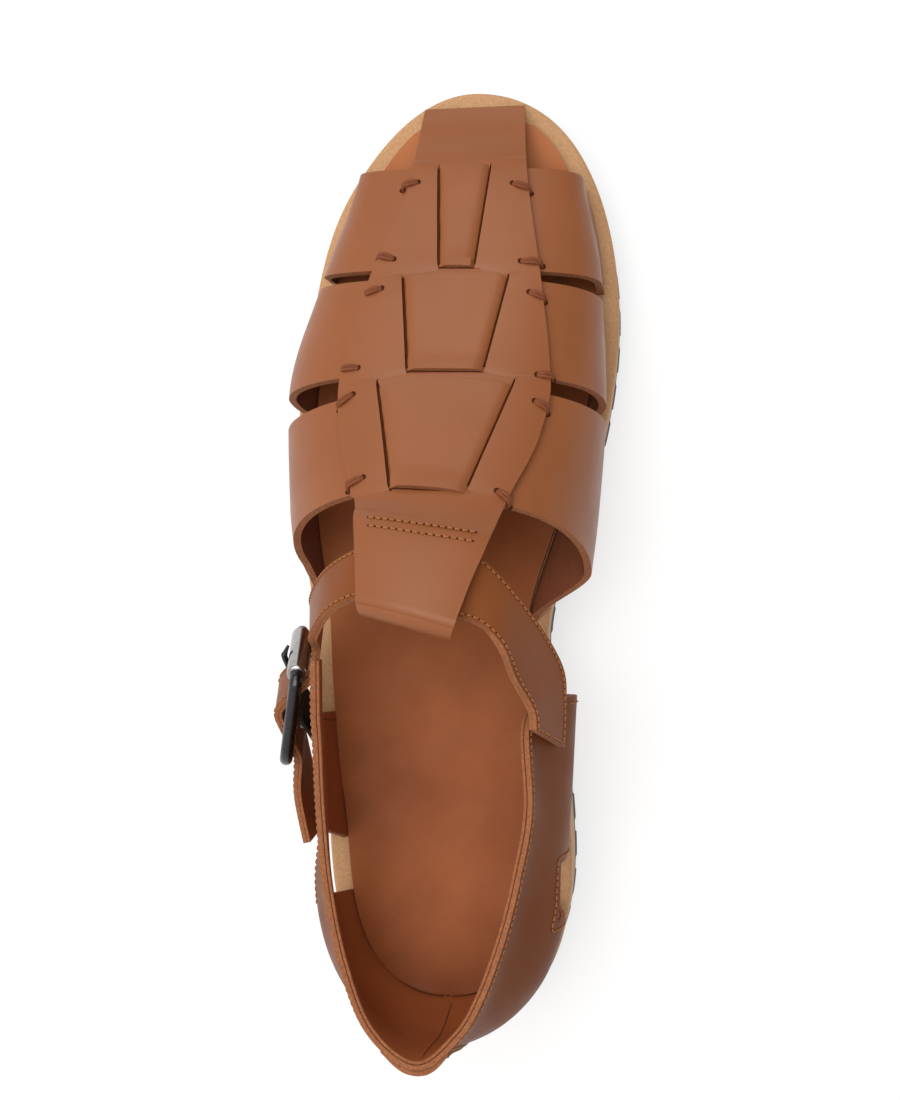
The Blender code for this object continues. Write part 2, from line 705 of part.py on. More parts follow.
def buckle_frame(metal):
    frame = wire("buckle_frame", frame_path(), WIRE_RADIUS, metal, closed=True)
    ends = [buckle_point(side * FRAME_HALF_WIDTH, CENTRE_BAR_ALONG, CENTRE_BAR_OUT) for side in (-1, 1)]
    combine(frame, wire("centre_bar", ends, CENTRE_BAR_RADIUS, metal), "UNION")
    return frame


def buckle_roller(metal):
    """A tube that turns on the frame's front bar."""
    ends = [buckle_point(side * ROLLER_HALF_LENGTH, 0, 0) for side in (-1, 1)]
    roller = wire("buckle_roller", ends, ROLLER_RADIUS, metal, sides=4)
    past = [buckle_point(side * (ROLLER_HALF_LENGTH + 2), 0, 0) for side in (-1, 1)]
    combine(roller, wire("roller_bore", past, WIRE_RADIUS + GAP, metal, sides=4), "DIFFERENCE")
    return roller


def prong_path():
    """From the centre bar, through the strap, to rest on the roller."""
    rest = ROLLER_RADIUS + PRONG_RADIUS + GAP
    start = CENTRE_BAR_ALONG - CENTRE_BAR_RADIUS - ELASTIC_THICKNESS - PRONG_RADIUS - 3 * GAP
    stops = [(start, CENTRE_BAR_OUT), (start - 4.5, CENTRE_BAR_OUT + 2.0)]
    stops += [(1.5, rest), (0.0, rest), (-2.4, rest - 0.6)]
    return [buckle_point(0, along, out) for along, out in stops]


def buckle_prong(metal):
    return wire("buckle_prong", prong_path(), PRONG_RADIUS, metal)


def elastic_tab(black):
    """An elastic band round the centre bar, sewn to the quarter behind it."""
    radius = CENTRE_BAR_RADIUS + GAP
    path = [(CENTRE_BAR_ALONG + 1.0, CENTRE_BAR_OUT + radius)]
    for angle in between(-60, 60, 4):
        turn = math.radians(angle)
        along = CENTRE_BAR_ALONG - radius * math.cos(turn)
        path.append((along, CENTRE_BAR_OUT - radius * math.sin(turn)))
    path += [(CENTRE_BAR_ALONG + 2.0, CENTRE_BAR_OUT - radius - 0.6), (ELASTIC_END, ELASTIC_END_OUT)]
    half = ELASTIC_HALF_WIDTH
    grid = [[buckle_point(across, *stop) for across in (-half, half)] for stop in path]
    band = sheet("elastic_tab", [grid], black)
    thicken(band, ELASTIC_THICKNESS)
    return band


COLLECTION = "fisherman_sandal"
HELPERS = "fisherman_sandal_helpers"


def main():
    for obj in list(bpy.data.objects):
        bpy.data.objects.remove(obj)
    for name in (COLLECTION, HELPERS):
        collection = bpy.data.collections.new(name)
        bpy.context.scene.collection.children.link(collection)
    tan = material("tan_leather", (0.33, 0.13, 0.06), 0.42)
    russet = material("insole_leather", (0.25, 0.08, 0.035), 0.5)
    honey = material("honey_midsole", (0.62, 0.36, 0.17), 0.6)
    rubber = material("dark_rubber", (0.05, 0.045, 0.04), 0.7)
    gunmetal = material("gunmetal", (0.12, 0.12, 0.12), 0.3, 1.0)
    elastic = material("black_elastic", (0.015, 0.013, 0.012), 0.8)
    outsole(rubber)
    midsole(honey)
    insole(russet)
    vamp(tan)
    quarter(tan)
    backstay(tan)
    ankle_strap(tan)
    buckle_frame(gunmetal)
    buckle_roller(gunmetal)
    buckle_prong(gunmetal)
    elastic_tab(elastic)


main()
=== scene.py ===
"""Looks of a left fisherman sandal: leather, raw edges, lacing, stitching, metal, light and camera.

The tables repeat the part's own sizes in millimetres, and MM turns them into metres. +X is the medial
side, +Y points to the toe and +Z is up.
"""

import bisect
import json
import math
from collections import namedtuple
from functools import lru_cache

import bmesh
import bpy
from mathutils import Matrix, Vector

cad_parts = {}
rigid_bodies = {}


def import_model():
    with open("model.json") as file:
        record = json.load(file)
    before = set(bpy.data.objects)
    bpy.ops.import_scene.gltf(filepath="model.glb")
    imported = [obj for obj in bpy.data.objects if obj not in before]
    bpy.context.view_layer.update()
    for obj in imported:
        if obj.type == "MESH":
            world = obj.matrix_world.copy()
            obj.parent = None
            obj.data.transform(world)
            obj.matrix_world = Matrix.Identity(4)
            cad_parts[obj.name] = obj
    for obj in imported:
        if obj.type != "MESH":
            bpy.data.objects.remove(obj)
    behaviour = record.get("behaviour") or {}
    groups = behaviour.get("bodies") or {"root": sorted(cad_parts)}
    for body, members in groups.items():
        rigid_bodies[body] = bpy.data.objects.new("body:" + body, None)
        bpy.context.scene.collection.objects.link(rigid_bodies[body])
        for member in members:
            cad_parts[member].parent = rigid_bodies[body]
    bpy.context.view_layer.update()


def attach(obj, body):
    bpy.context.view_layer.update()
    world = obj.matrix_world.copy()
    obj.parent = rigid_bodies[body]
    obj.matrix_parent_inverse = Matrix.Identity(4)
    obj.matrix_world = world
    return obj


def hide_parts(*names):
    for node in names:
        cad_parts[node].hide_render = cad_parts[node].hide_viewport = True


def table(columns, *rows):
    """Rows of values under named columns."""
    row_type = namedtuple("Row", columns)
    return tuple(row_type(*row) for row in rows)


MM = 0.001
GAP = 0.3
FOOT_GAP = 0.5

# The sole
HEEL_END = -28.5
TOE_END = 257.0
SOLE_STATIONS = 44
OUTSOLE_THICKNESS = 7.0
LUG_DEPTH = 3.5
LUG_LENGTH = 7.2
LUG_PITCH = 11.8
LUG_DRAFT = 0.7
LUG_PROUD = 0.2
CHANNELS = ((0.30, 0.36), (0.64, 0.70))
MIDSOLE_CHAMFER = 1.2
INSOLE_THICKNESS = 3.0

# Each row is a section across the sole. lateral and medial are widths over an ellipse of the
# sole's length, rim is the ledge outside the insole, floor and top are heights.
SOLE_ROWS = table(
    "y axis lateral medial rim floor top",
    (-28.5, 0.0, 67.0, 67.0, 11.0, 1.2, 30.0),
    (-14.0, 0.0, 60.0, 62.0, 8.4, 0.0, 29.7),
    (8.0, 0.0, 51.5, 53.5, 6.4, 0.0, 29.2),
    (40.0, 0.0, 45.0, 42.0, 6.3, 0.0, 27.5),
    (90.0, 0.0, 44.0, 29.8, 6.0, 3.0, 23.0),
    (125.0, 0.4, 48.5, 38.5, 6.0, 0.0, 20.5),
    (155.0, 1.0, 52.5, 48.5, 6.5, 0.0, 20.0),
    (190.0, 2.5, 55.8, 57.5, 6.5, 0.0, 20.0),
    (232.0, 5.4, 62.0, 66.0, 6.0, 4.5, 22.5),
    (249.0, 6.5, 62.0, 71.2, 5.2, 7.9, 24.9),
    (257.0, 7.0, 62.0, 74.0, 11.0, 9.5, 26.0),
)

# The last
LEATHER = 2.2
WEAVE_LIFT = 1.6
RAIL_LEATHER = 2.8
EQUATOR = 0.72
FRONT_SWEEP = 1.0
REAR_SWEEP = 1.8
UPRIGHT = 0.012

# Each row is a section across the last. lateral and medial are its widest points, ridge and top
# its crown, belly the height of its widest points over the sole, square its squareness.
LAST_ROWS = table(
    "y lateral medial ridge top belly square",
    (80.0, -36.5, 37.0, -3.0, 98.0, 20.0, 0.95),
    (100.0, -38.8, 40.0, -2.0, 90.0, 19.0, 0.92),
    (128.0, -43.8, 43.5, 1.0, 76.0, 17.0, 0.88),
    (160.0, -45.5, 45.5, 3.8, 61.5, 15.0, 0.82),
    (197.0, -36.0, 44.2, 5.6, 50.0, 12.0, 0.78),
    (228.0, -25.6, 39.0, 7.6, 39.5, 8.0, 0.66),
    (243.0, -23.0, 38.0, 7.8, 31.5, 4.0, 0.5),
    (250.5, -22.0, 37.0, 7.8, 26.2, 0.3, 0.4),
)

# Front and rear edges of each strap at the lateral sole, the crown and the medial sole, then the
# two slits that it comes up through, and the slant of its panel between them.
STRAP_ROWS = table(
    "name front_lateral front_mid front_medial rear_lateral rear_mid rear_medial"
    " left_front left_rear right_front right_rear slant",
    ("toe_strap", 231.0, 228.0, 226.5, 199.0, 195.5, 195.0, -1.3, 0.2, 14.1, 10.3, -0.04),
    ("ball_strap", 193.5, 193.4, 187.0, 156.0, 164.0, 154.5, -10.0, -7.4, 20.1, 13.7, -0.03),
    ("instep_strap", 145.0, 161.6, 149.0, 95.0, 129.0, 95.0, -15.7, -9.5, 22.3, 10.6, -0.1),
)

# The leaf-shaped bar down the middle, from the toe to the loop.
BAR_ROWS = table(
    "y left right",
    (94.0, -13.0, 8.2),
    (113.0, -16.2, 14.1),
    (128.0, -19.8, 21.4),
    (145.0, -25.0, 28.5),
    (160.0, -26.5, 31.2),
    (190.0, -20.4, 28.8),
    (226.0, -9.2, 24.5),
    (249.8, -7.6, 23.2),
)

# The end of the bar lies over the ankle strap, folds and comes back under it.
LOOP_OVER = table("y lift", (124.0, 2.0), (119.5, 3.8), (115.4, 5.4), (104.0, 5.7))
LOOP_FOLD_Y = 96.5
LOOP_TOP = 5.7
LOOP_BOTTOM = 1.9
LOOP_UNDER = table("y lift", (104.0, 1.8), (112.0, 1.4), (118.5, 0.8))
LOOP_SKEW = -0.29
LOOP_SKEW_FROM = 128.0
LOOP_SKEW_TO = 113.0
LOOP_MIDDLE_X = -2.4

# Heel quarter: each row is a line from the sole up to the collar. turn runs along the sole's
# outline, negative on the lateral side, and belly is how far the line bows out.
QUARTER_WALL = 2.5
CUT_OUT_TURNS = (0.245, 0.293)
CUT_OUT_RISE = 0.5
BELLY_POWER = 0.8
NOSE_TURN = 0.364
NOSE_DROP = 0.24
STRIP_TURN = -0.390
STRIP_RISE = 0.8
QUARTER_ROWS = table(
    "turn collar_x collar_y collar_z belly",
    (-0.430, -29.7, 84.0, 77.0, 0.5),
    (-0.390, -29.7, 69.5, 76.3, 1.2),
    (-0.346, -29.3, 62.0, 76.0, 2.0),
    (-0.296, -28.1, 42.0, 76.5, 2.8),
    (-0.249, -25.4, 22.0, 79.0, 6.3),
    (-0.185, -20.4, 3.0, 82.5, 6.5),
    (-0.095, -13.0, -12.6, 86.0, 4.6),
    (0.0, -1.3, -20.4, 88.0, 3.0),
    (0.095, 8.3, -13.3, 87.0, 6.0),
    (0.185, 13.8, -4.5, 85.0, 7.4),
    (0.249, 19.3, 10.5, 81.5, 7.8),
    (0.296, 23.2, 26.0, 79.5, 6.6),
    (0.346, 26.4, 46.0, 78.0, 7.8),
    (0.404, 24.3, 72.0, 80.5, 12.6),
)
BACKSTAY_TURN = 0.062
BACKSTAY_LEATHER = 1.2
BACKSTAY_FOOT = 0.12

# Buckle, in its own frame: across along the bars, along the strap, out from the foot.
BUCKLE_PLACE = Vector((-40.4, 84.8, 55.5))
BUCKLE_ACROSS = Vector((-0.135, 0.498, -0.857)).normalized()
BUCKLE_ALONG = Vector((-0.215, -0.861, -0.466)).normalized()
BUCKLE_OUT = BUCKLE_ACROSS.cross(BUCKLE_ALONG).normalized()
WIRE_RADIUS = 1.9
FRAME_HALF_WIDTH = 14.0
FRAME_LENGTH = 31.0
FRAME_CORNER = 8.0
CENTRE_BAR_RADIUS = 1.3
CENTRE_BAR_ALONG = 15.0
CENTRE_BAR_OUT = -0.4
ROLLER_RADIUS = 2.9
ROLLER_HALF_LENGTH = 11.0
PRONG_RADIUS = 0.9
PRONG_KNEE_ALONG = 4.5
PRONG_KNEE_OUT = 2.0
PRONG_LANDING = 1.5
PRONG_TIP_ALONG = -2.4
PRONG_TIP_DROP = 0.6
ELASTIC_HALF_WIDTH = 9.0
ELASTIC_THICKNESS = 1.0
ELASTIC_END = 24.0
ELASTIC_END_OUT = -7.1

# Ankle strap: its middle layer runs under the roller, over the centre bar and under the rear bar.
STRAP_LEATHER = 2.2
STRAP_FRONT_Y = 111.8
STRAP_FRONT_SKEW = -0.10
STRAP_REAR_Y = 97.0
STRAP_REAR_SKEW = -0.23
STRAP_LIFT = LOOP_BOTTOM + 2 * GAP + STRAP_LEATHER / 2
STRAP_CROSSINGS = (14.0, 5.0, -4.0, -14.0)
BILLET_HALF_WIDTH = 9.5

# The strap's sewn end: rows back from the quarter's front, and shares of the quarter's height.
SEWN_ROWS = table(
    "front_back front_rise rear_back rear_rise",
    (0.55, 0.66, 0.32, 1.0),
    (0.15, 0.64, 0.08, 1.0),
)

# Its two edges where it hangs free, between the quarter, the loop and the buckle.
MEDIAL_ROWS = table(
    "front rear",
    (Vector((35.4, 82.5, 66.5)), Vector((24.3, 79.8, 86.3))),
    (Vector((27.3, 97.5, 79.6)), Vector((21.4, 88.4, 92.6))),
)
LATERAL_ROWS = table(
    "front rear",
    (Vector((-27.0, 109.0, 77.0)), Vector((-24.6, 97.0, 88.0))),
    (Vector((-34.6, 101.5, 62.5)), Vector((-31.0, 90.0, 78.5))),
)

# Its way through the buckle, and its tail.
BILLET_ROWS = table(
    "along out",
    (-8.0, -4.7), (0.0, -4.6), (2.4, -4.0), (7.5, -0.4), (12.7, 3.2), (15.0, 3.8),
    (17.0, 3.4), (23.2, 0.1), (29.5, -3.3), (32.5, -3.8),
)
TAIL_ROWS = table("x y z lean", (-42.6, 45.5, 38.5, 0.30), (-39.8, 30.5, 38.0, 0.12))

# Looks of the sole
MIDSOLE_SEAT = 0.1
MIDSOLE_GROOVE = ((0.0, 0.0), (0.8, 0.35), (1.4, 0.0))
INSOLE_INSET = 0.15
PLAIN_STATIONS = 4

# How deep the foot has pressed the insole, along the sole.
DISH_ROWS = table(
    "y depth",
    (-25.0, 0.6), (15.0, 1.8), (90.0, 0.5), (165.0, 1.0), (250.0, 0.2),
)

# Looks of the vamp: each strap climbs out of its left slit and goes down into its right one, and its
# panel between them lies aslant with a curled rear edge.
LEFT_CLIMB = (-0.3, 1.8)
RIGHT_CLIMB = (-2.0, -0.1)
PANEL_REACH = 17.0
PANEL_CURL = 0.6
PANEL_CURL_FROM = 0.8
FRONT_END_LIFT = 1.1
REAR_END_LIFT = 0.9
TONGUE_EASE = 0.12
RAIL_COLUMNS = 9
TONGUE_COLUMNS = 15
SLIT_OPENING = 0.8
SLIT_END = 0.03
SLIT_MOUTH = 0.04
# Painted shade: dark tubes in the slits and under each panel's rear edge stand in for their shadow; their
# radius, sink and set-back.
SLIT_SHADE = 0.27
SHADE_DEPTH = 0.1
SHADE_BEHIND = 0.3
TOE_REACH = 1.6
TOE_EASE = (1.0, 12.0)
LOOP_START = (127.4, 1.35)
LOOP_STEPS = 5

# Each lace runs from its outer hole, in the strap, to its inner hole, in the bar.
LACE_ROWS = table(
    "outer_x outer_y inner_x inner_y",
    (-12.1, 221.8, -7.1, 222.8),
    (25.8, 219.3, 20.6, 221.4),
    (-18.0, 200.0, -12.8, 198.5),
    (29.4, 196.4, 23.2, 196.8),
    (-21.0, 187.9, -15.8, 189.6),
    (30.1, 185.4, 25.6, 187.4),
    (-26.5, 165.3, -21.3, 165.5),
    (32.4, 162.1, 27.8, 162.6),
    (-26.8, 153.8, -22.1, 157.5),
    (31.0, 152.0, 27.2, 154.7),
    (-21.8, 129.7, -16.9, 132.5),
    (21.7, 125.0, 18.1, 128.4),
)
LACE_RADIUS = 0.55
LACE_STEP = 0.2
LACE_ARCH = 0.75
LACE_SINK = 0.5
LACE_CLOSE = 0.45
LACE_SPREAD = 0.5
LACE_HOLE = 0.95
LACE_PROBE = 9.0

# Looks of the quarter and the ankle strap: two layers of leather, and a backstay with thin sides.
EDGE_ROUND = 0.3
LINING = 0.9
SEAM = 0.08
BACKSTAY_TOP = 0.99
BACKSTAY_SEAT = 0.1
BACKSTAY_FACE = BACKSTAY_LEATHER + 1.5 * GAP
BACKSTAY_SKIVE = 1.1
SKIVE_FROM = 0.15

# A lockstitch, from needle hole to needle hole.
STITCH_PITCH = 1.9
STITCH_RADIUS = 0.24
STITCH_BOW = 1.1
STITCH_SINK = 0.25
STITCH_SHARES = (0.14, 0.26, 0.5, 0.74, 0.86)
STITCH_GIRTHS = (0.6, 1.0, 1.0, 1.0, 0.6)
HOLE_GIRTH = 1.15
HOLE_SIDES = 8
HOLE_PROUD = 0.04
THREAD_SIDES = 6
THREAD_SKIN = 0
HOLE_SKIN = 1
INNER_THREAD_SKIN = 2

# Where the stitches run: turns in from an edge, shares of the quarter's height and of the strap's width.
COLLAR_STITCH_END = 0.006
COLLAR_STITCH_DROP = 0.03
WINDOW_STITCH_TURN = 0.006
WINDOW_STITCH_RISE = 0.05
WINDOW_STITCH_FOOT = 0.04
FRONT_STITCH_TURN = 0.007
FRONT_STITCH_FOOT = 0.05
MEDIAL_STITCH_TOP = 0.7
BACKSTAY_STITCH_TURN = 0.008
BACKSTAY_STITCH_RISE = (BACKSTAY_FOOT + 0.02, 0.97)
HEEL_SEAM_TURN = 0.012
HEEL_SEAM_RISE = (0.12, 0.95)
STRAP_STITCH_SHARE = 0.06
STRAP_STITCH_START = 0.15
STRAP_STITCH_STOP = 0.1
LOOP_STITCH_ROWS = table(
    "left_x left_y right_x right_y",
    (-12.9, 116.8, 13.0, 118.1),
    (-12.5, 113.9, 12.3, 116.0),
)

# Looks of the buckle and the elastic
FRAME_SMALL_CORNER = 2.0
ROLLER_ROWS = table(
    "share girth",
    (-1.0, 0.82), (-0.97, 0.97), (-0.93, 1.0), (0.93, 1.0), (0.97, 0.97), (1.0, 0.82),
)
PRONG_TAPER = 0.5
PRONG_TAPER_FROM = 0.6
ELASTIC_LAP = 1.0
ELASTIC_WRAP = 60
ELASTIC_LEAVES = (2.0, 0.6)
ZIGZAG_LIFT = 0.1
ZIGZAG_START = 0.35
ZIGZAG_ENDS = ((1.0, 0.35), (2.0, 0.6))
ZIGZAG_RADIUS = 0.2

# Points nearer than this are joined, and no tube runs along this direction.
MERGE = 0.002
TUBE_SIDE = Vector((0.31, 0.22, 0.93))
SHADER = "Principled BSDF"
FLESH = "leather_flesh"
CUT_EDGE = "leather_cut_edge"
WEBBING = "black_elastic"

# Smooth leathers, cloudy between two colours, that may fade into another one along the shoe: the insole's
# fades are painted light at the toe and painted shade at the heel.
INSOLE_LIGHT_AND_SHADE = table("start end colour", (185, 235, (0.42, 0.14, 0.048)), (-2, -20, (0.2, 0.054, 0.016)))
GRAIN_ROWS = table(
    "name light dark roughness coat ior fades",
    ("tan_leather", (0.28, 0.092, 0.031), (0.255, 0.081, 0.026), 0.4, 0.04, 1.36, ()),
    # The quarter and ankle strap leathers are the tan leather painted darker: painted shade of steep walls
    # that face away from the light.
    ("quarter_leather", (0.18, 0.052, 0.014), (0.16, 0.044, 0.012), 0.42, 0.0, 1.14, ()),
    ("strap_leather", (0.22, 0.067, 0.02), (0.2, 0.058, 0.017), 0.42, 0.0, 1.2, ()),
    ("lining_leather", (0.36, 0.105, 0.034), (0.31, 0.086, 0.027), 0.5, 0.0, 1.2, ()),
    ("insole_leather", (0.36, 0.107, 0.033), (0.265, 0.073, 0.021), 0.46, 0.0, 1.2, INSOLE_LIGHT_AND_SHADE),
)
CLOUD_SCALE = 38
PORE_SCALE = 1500
PORE_DEPTH = 0.05
WRINKLE_SCALE = 420
WRINKLE_DEPTH = 0.1
POLISH_SCALE = 90
POLISH_SPREAD = (-0.05, 0.07)

# The fibres of flesh sides and cut edges.
FIBRE_ROWS = table(
    "name light dark scale depth",
    (FLESH, (0.24, 0.066, 0.021), (0.19, 0.05, 0.016), 700, 0.06),
    (CUT_EDGE, (0.38, 0.138, 0.049), (0.17, 0.05, 0.016), 1300, 0.15),
)

# Everything else has one colour with a fine grain.
GRAIN_SHADE = 0.75
PLAIN_ROWS = table(
    "name colour roughness metallic grain depth ior",
    ("honey_midsole", (0.56, 0.3, 0.135), 0.62, 0.0, 1200, 0.03, 1.4),
    ("dark_rubber", (0.045, 0.04, 0.036), 0.72, 0.0, 900, 0.03, 1.4),
    ("gunmetal", (0.07, 0.07, 0.073), 0.28, 1.0, 900, 0.01, 1.4),
    ("roller_nickel", (0.42, 0.41, 0.4), 0.2, 1.0, 900, 0.01, 1.4),
    (WEBBING, (0.014, 0.012, 0.011), 0.85, 0.0, 1500, 0.15, 1.4),
    ("tan_thread", (0.4, 0.15, 0.052), 0.7, 0.0, 900, 0.03, 1.2),
    ("brown_lace", (0.23, 0.07, 0.03), 0.7, 0.0, 900, 0.03, 1.2),
    # Painted shade: needle and lace holes are dark spots standing in for the shadow inside the holes.
    ("needle_hole", (0.06, 0.017, 0.007), 0.9, 0.0, 900, 0.03, 1.1),
    # Painted shade: the dark colour of the slit tubes stands in for the shadow in the slits and under the
    # panels' rear edges.
    ("dark_slit", (0.075, 0.02, 0.008), 0.9, 0.0, 900, 0.03, 1.1),
    ("pale_thread", (0.5, 0.48, 0.44), 0.7, 0.0, 900, 0.03, 1.4),
)

# Skins of stitches and laces, in the order of their numbers above.
STITCH_SKINS = ("tan_thread", "needle_hole", "brown_lace")
LACE_SKINS = ("brown_lace", "needle_hole")

# Every material that has been made, by the name in its row.
MATERIALS = {}

# Floor, sky and lights, in metres and watts. The sky is dim on the medial side.
FLOOR_HALF = 6.0
WHITE = (1.0, 1.0, 1.0, 1.0)
FLOOR_GREY = (0.35, 0.35, 0.35, 1.0)
SKY_DARK_SIDE = (0.92, 0.39, 0.0)
SKY_BRIGHT = 0.95
SKY_DIM = 0.06
LIGHT_ROWS = table(
    "name place target size energy",
    ("key", (-0.1, 0.15, 1.3), (0, 0.11, 0), (1.1, 1.1), 13.0),
    ("front", (-0.1, 1.0, 0.9), (0, 0.18, 0.05), (0.9, 0.5), 3.0),
)

# The photo's camera, turned towards the middle of the one shoe.
CAMERA_PLACE = Vector((59.5, 100.0, 480.0))
CAMERA_TARGET = Vector((1.0, 115.5, 36.0))
CAMERA_LENS = 49.0


# Curves


def between(low, high, count):
    """A count of even stops from low to high."""
    return [low + (high - low) * k / (count - 1) for k in range(count)]


@lru_cache(maxsize=None)
def curve_of(rows, column):
    """A table's column as ys, values and slopes, for a curve that never overshoots the rows."""
    ys = [row.y for row in rows]
    values = [getattr(row, column) for row in rows]
    steps = [(values[k + 1] - values[k]) / (ys[k + 1] - ys[k]) for k in range(len(ys) - 1)]
    slopes = [steps[0]]
    for before, after in zip(steps, steps[1:]):
        slopes.append(0.0 if before * after <= 0 else 2 * before * after / (before + after))
    return ys, values, slopes + [steps[-1]]


def smooth(rows, column, y):
    """A column of a table at y."""
    ys, values, slopes = curve_of(rows, column)
    y = min(max(y, ys[0]), ys[-1])
    i = min(bisect.bisect_right(ys, y), len(ys) - 1) - 1
    span = ys[i + 1] - ys[i]
    t = (y - ys[i]) / span
    rise = values[i] + (values[i + 1] - values[i]) * t * t * (3 - 2 * t)
    return rise + span * t * (1 - t) * (slopes[i] * (1 - t) - slopes[i + 1] * t)


def flowing(points, t):
    """A point at t on the curve through points, where whole numbers of t are the points."""
    last = len(points) - 1
    i = min(max(int(math.floor(t)), 0), last - 1)
    u = t - i
    a, b = points[max(i - 1, 0)], points[i]
    c, d = points[i + 1], points[min(i + 2, last)]
    bend = (b * 3 - a - c * 3 + d) * u + (a * 2 - b * 5 + c * 4 - d)
    return b + ((c - a) + bend * u) * (u / 2)


# Outline of the sole


def outline(turn, inset=0.0):
    """A point of the sole's outline: turn 0 is the heel's back, -1 and 1 are the toe."""

    def edge(at):
        y = (TOE_END + HEEL_END) / 2 - (TOE_END - HEEL_END) / 2 * math.cos(math.pi * at)
        width = smooth(SOLE_ROWS, "lateral" if at < 0 else "medial", y)
        return Vector((smooth(SOLE_ROWS, "axis", y) + width * math.sin(math.pi * at), y, 0))

    step = 1e-4
    here = edge(turn)
    along = (edge(turn + step) - edge(turn - step)).normalized()
    return here - Vector((along.y, -along.x, 0)) * inset


def sole_x(y, side):
    """Half the sole's plan: x of its edge at y."""
    share = 1 - 2 * (y - HEEL_END) / (TOE_END - HEEL_END)
    return outline(side * math.acos(share) / math.pi).x


def rim_point(turn, more=0.0):
    """The foot of an upper: just outside the insole's edge, on the midsole."""
    y = outline(turn).y
    point = outline(turn, smooth(SOLE_ROWS, "rim", y) + more)
    return Vector((point.x, point.y, smooth(SOLE_ROWS, "top", point.y) + FOOT_GAP))


# The last and what lies on it


def last_point(y, s):
    """The last's skin: s is -1 at the lateral sole, 0 on the crown and 1 at the medial sole."""
    side = -1 if s < 0 else 1
    row = {column: smooth(LAST_ROWS, column, y) for column in LAST_ROWS[0]._fields[1:]}
    widest = row["lateral"] if side < 0 else row["medial"]
    foot_z = smooth(SOLE_ROWS, "top", y) + FOOT_GAP
    belly_z = foot_z + row["belly"]
    if abs(s) <= EQUATOR:
        angle = math.pi / 2 * abs(s) / EQUATOR
        x = row["ridge"] + (widest - row["ridge"]) * math.sin(angle) ** row["square"]
        return Vector((x, y, belly_z + (row["top"] - belly_z) * math.cos(angle) ** row["square"]))
    t = (1 - abs(s)) / (1 - EQUATOR)
    foot_x = sole_x(y, side) - side * smooth(SOLE_ROWS, "rim", y)
    x = foot_x + (widest - foot_x) * t * t * (3 - 2 * t)
    return Vector((x, y, foot_z + (belly_z - foot_z) * t))


def on_last(y, s, lift):
    """A point lifted off the last's skin."""
    step_s, step_y = 0.004, 0.5
    across = last_point(y, min(s + step_s, 1)) - last_point(y, max(s - step_s, -1))
    along = last_point(y + step_y, s) - last_point(y - step_y, s)
    return last_point(y, s) + across.cross(along).normalized() * lift


def s_at(y, x):
    """Where on the crown of the section at y the skin is at x."""
    ridge = smooth(LAST_ROWS, "ridge", y)
    side = -1 if x < ridge else 1
    widest = smooth(LAST_ROWS, "lateral" if side < 0 else "medial", y)
    share = min((x - ridge) / (widest - ridge), 1.0)
    angle = math.asin(share ** (1 / smooth(LAST_ROWS, "square", y)))
    return side * EQUATOR * angle / (math.pi / 2)


def strap_edge(row, end, s):
    """y of a strap's front or rear edge at s."""
    middle = getattr(row, end + "_mid")
    foot = getattr(row, end + ("_lateral" if s < 0 else "_medial"))
    sweep = FRONT_SWEEP if end == "front" else REAR_SWEEP
    return middle + (foot - middle) * abs(s) ** sweep


def slit_x(row, side, share):
    """x of a slit, share of the way from the strap's front edge to its rear edge."""
    front, rear = getattr(row, side + "_front"), getattr(row, side + "_rear")
    return front + (rear - front) * share


def bar_point(y, x, lift):
    """A point of the bar; towards the loop its rows lie aslant."""
    slant = min(max((LOOP_SKEW_FROM - y) / (LOOP_SKEW_FROM - LOOP_SKEW_TO), 0), 1)
    turned = y + LOOP_SKEW * (x - LOOP_MIDDLE_X) * slant
    return on_last(turned, s_at(turned, x), lift)


# Skin of the heel quarter


@lru_cache(maxsize=None)
def quarter_lines():
    """The feet, collars and bellies of the quarter's rows, each as a list of points."""
    feet = [rim_point(row.turn) for row in QUARTER_ROWS]
    collars = [Vector((row.collar_x, row.collar_y, row.collar_z)) for row in QUARTER_ROWS]
    bellies = [Vector((row.belly, 0, 0)) for row in QUARTER_ROWS]
    return feet, collars, bellies


def quarter_skin(u, v):
    """The quarter's inside: u counts the table's rows, v is 0 at the sole and 1 at the collar."""
    step = 0.1
    feet, collars, bellies = quarter_lines()
    foot, collar, belly = flowing(feet, u), flowing(collars, u), flowing(bellies, u).x
    along = (flowing(feet, min(u + step, len(feet) - 1)) - flowing(feet, max(u - step, 0))).normalized()
    out = Vector((along.y, -along.x, 0))
    return foot.lerp(collar, v) + out * belly * math.sin(math.pi * v**BELLY_POWER) ** 2


def quarter_point(u, v, lift):
    """A point lifted off the quarter's inside."""
    step_u, step_v = 0.05, 0.02
    most = len(QUARTER_ROWS) - 1
    along = quarter_skin(min(u + step_u, most), v) - quarter_skin(max(u - step_u, 0), v)
    up = quarter_skin(u, min(v + step_v, 1)) - quarter_skin(u, max(v - step_v, 0))
    return quarter_skin(u, v) + along.cross(up).normalized() * lift


def wall_point(turn, v, lift):
    """A point lifted off the quarter's inside, at a turn along the sole's outline."""
    turns = [row.turn for row in QUARTER_ROWS]
    k = max(i for i in range(len(turns) - 1) if turns[i] <= turn)
    return quarter_point(k + (turn - turns[k]) / (turns[k + 1] - turns[k]), v, lift)


def collar_share(turn):
    """How far up the quarter goes: it dips under the ankle strap's sewn end."""
    dip = max(turn - NOSE_TURN, 0) / (QUARTER_ROWS[-1].turn - NOSE_TURN)
    return 1 - NOSE_DROP * dip * dip


# Paths of the buckle and the ankle strap


def buckle_point(across, along, out):
    """A point in the buckle's own frame."""
    return BUCKLE_PLACE + BUCKLE_ACROSS * across + BUCKLE_ALONG * along + BUCKLE_OUT * out


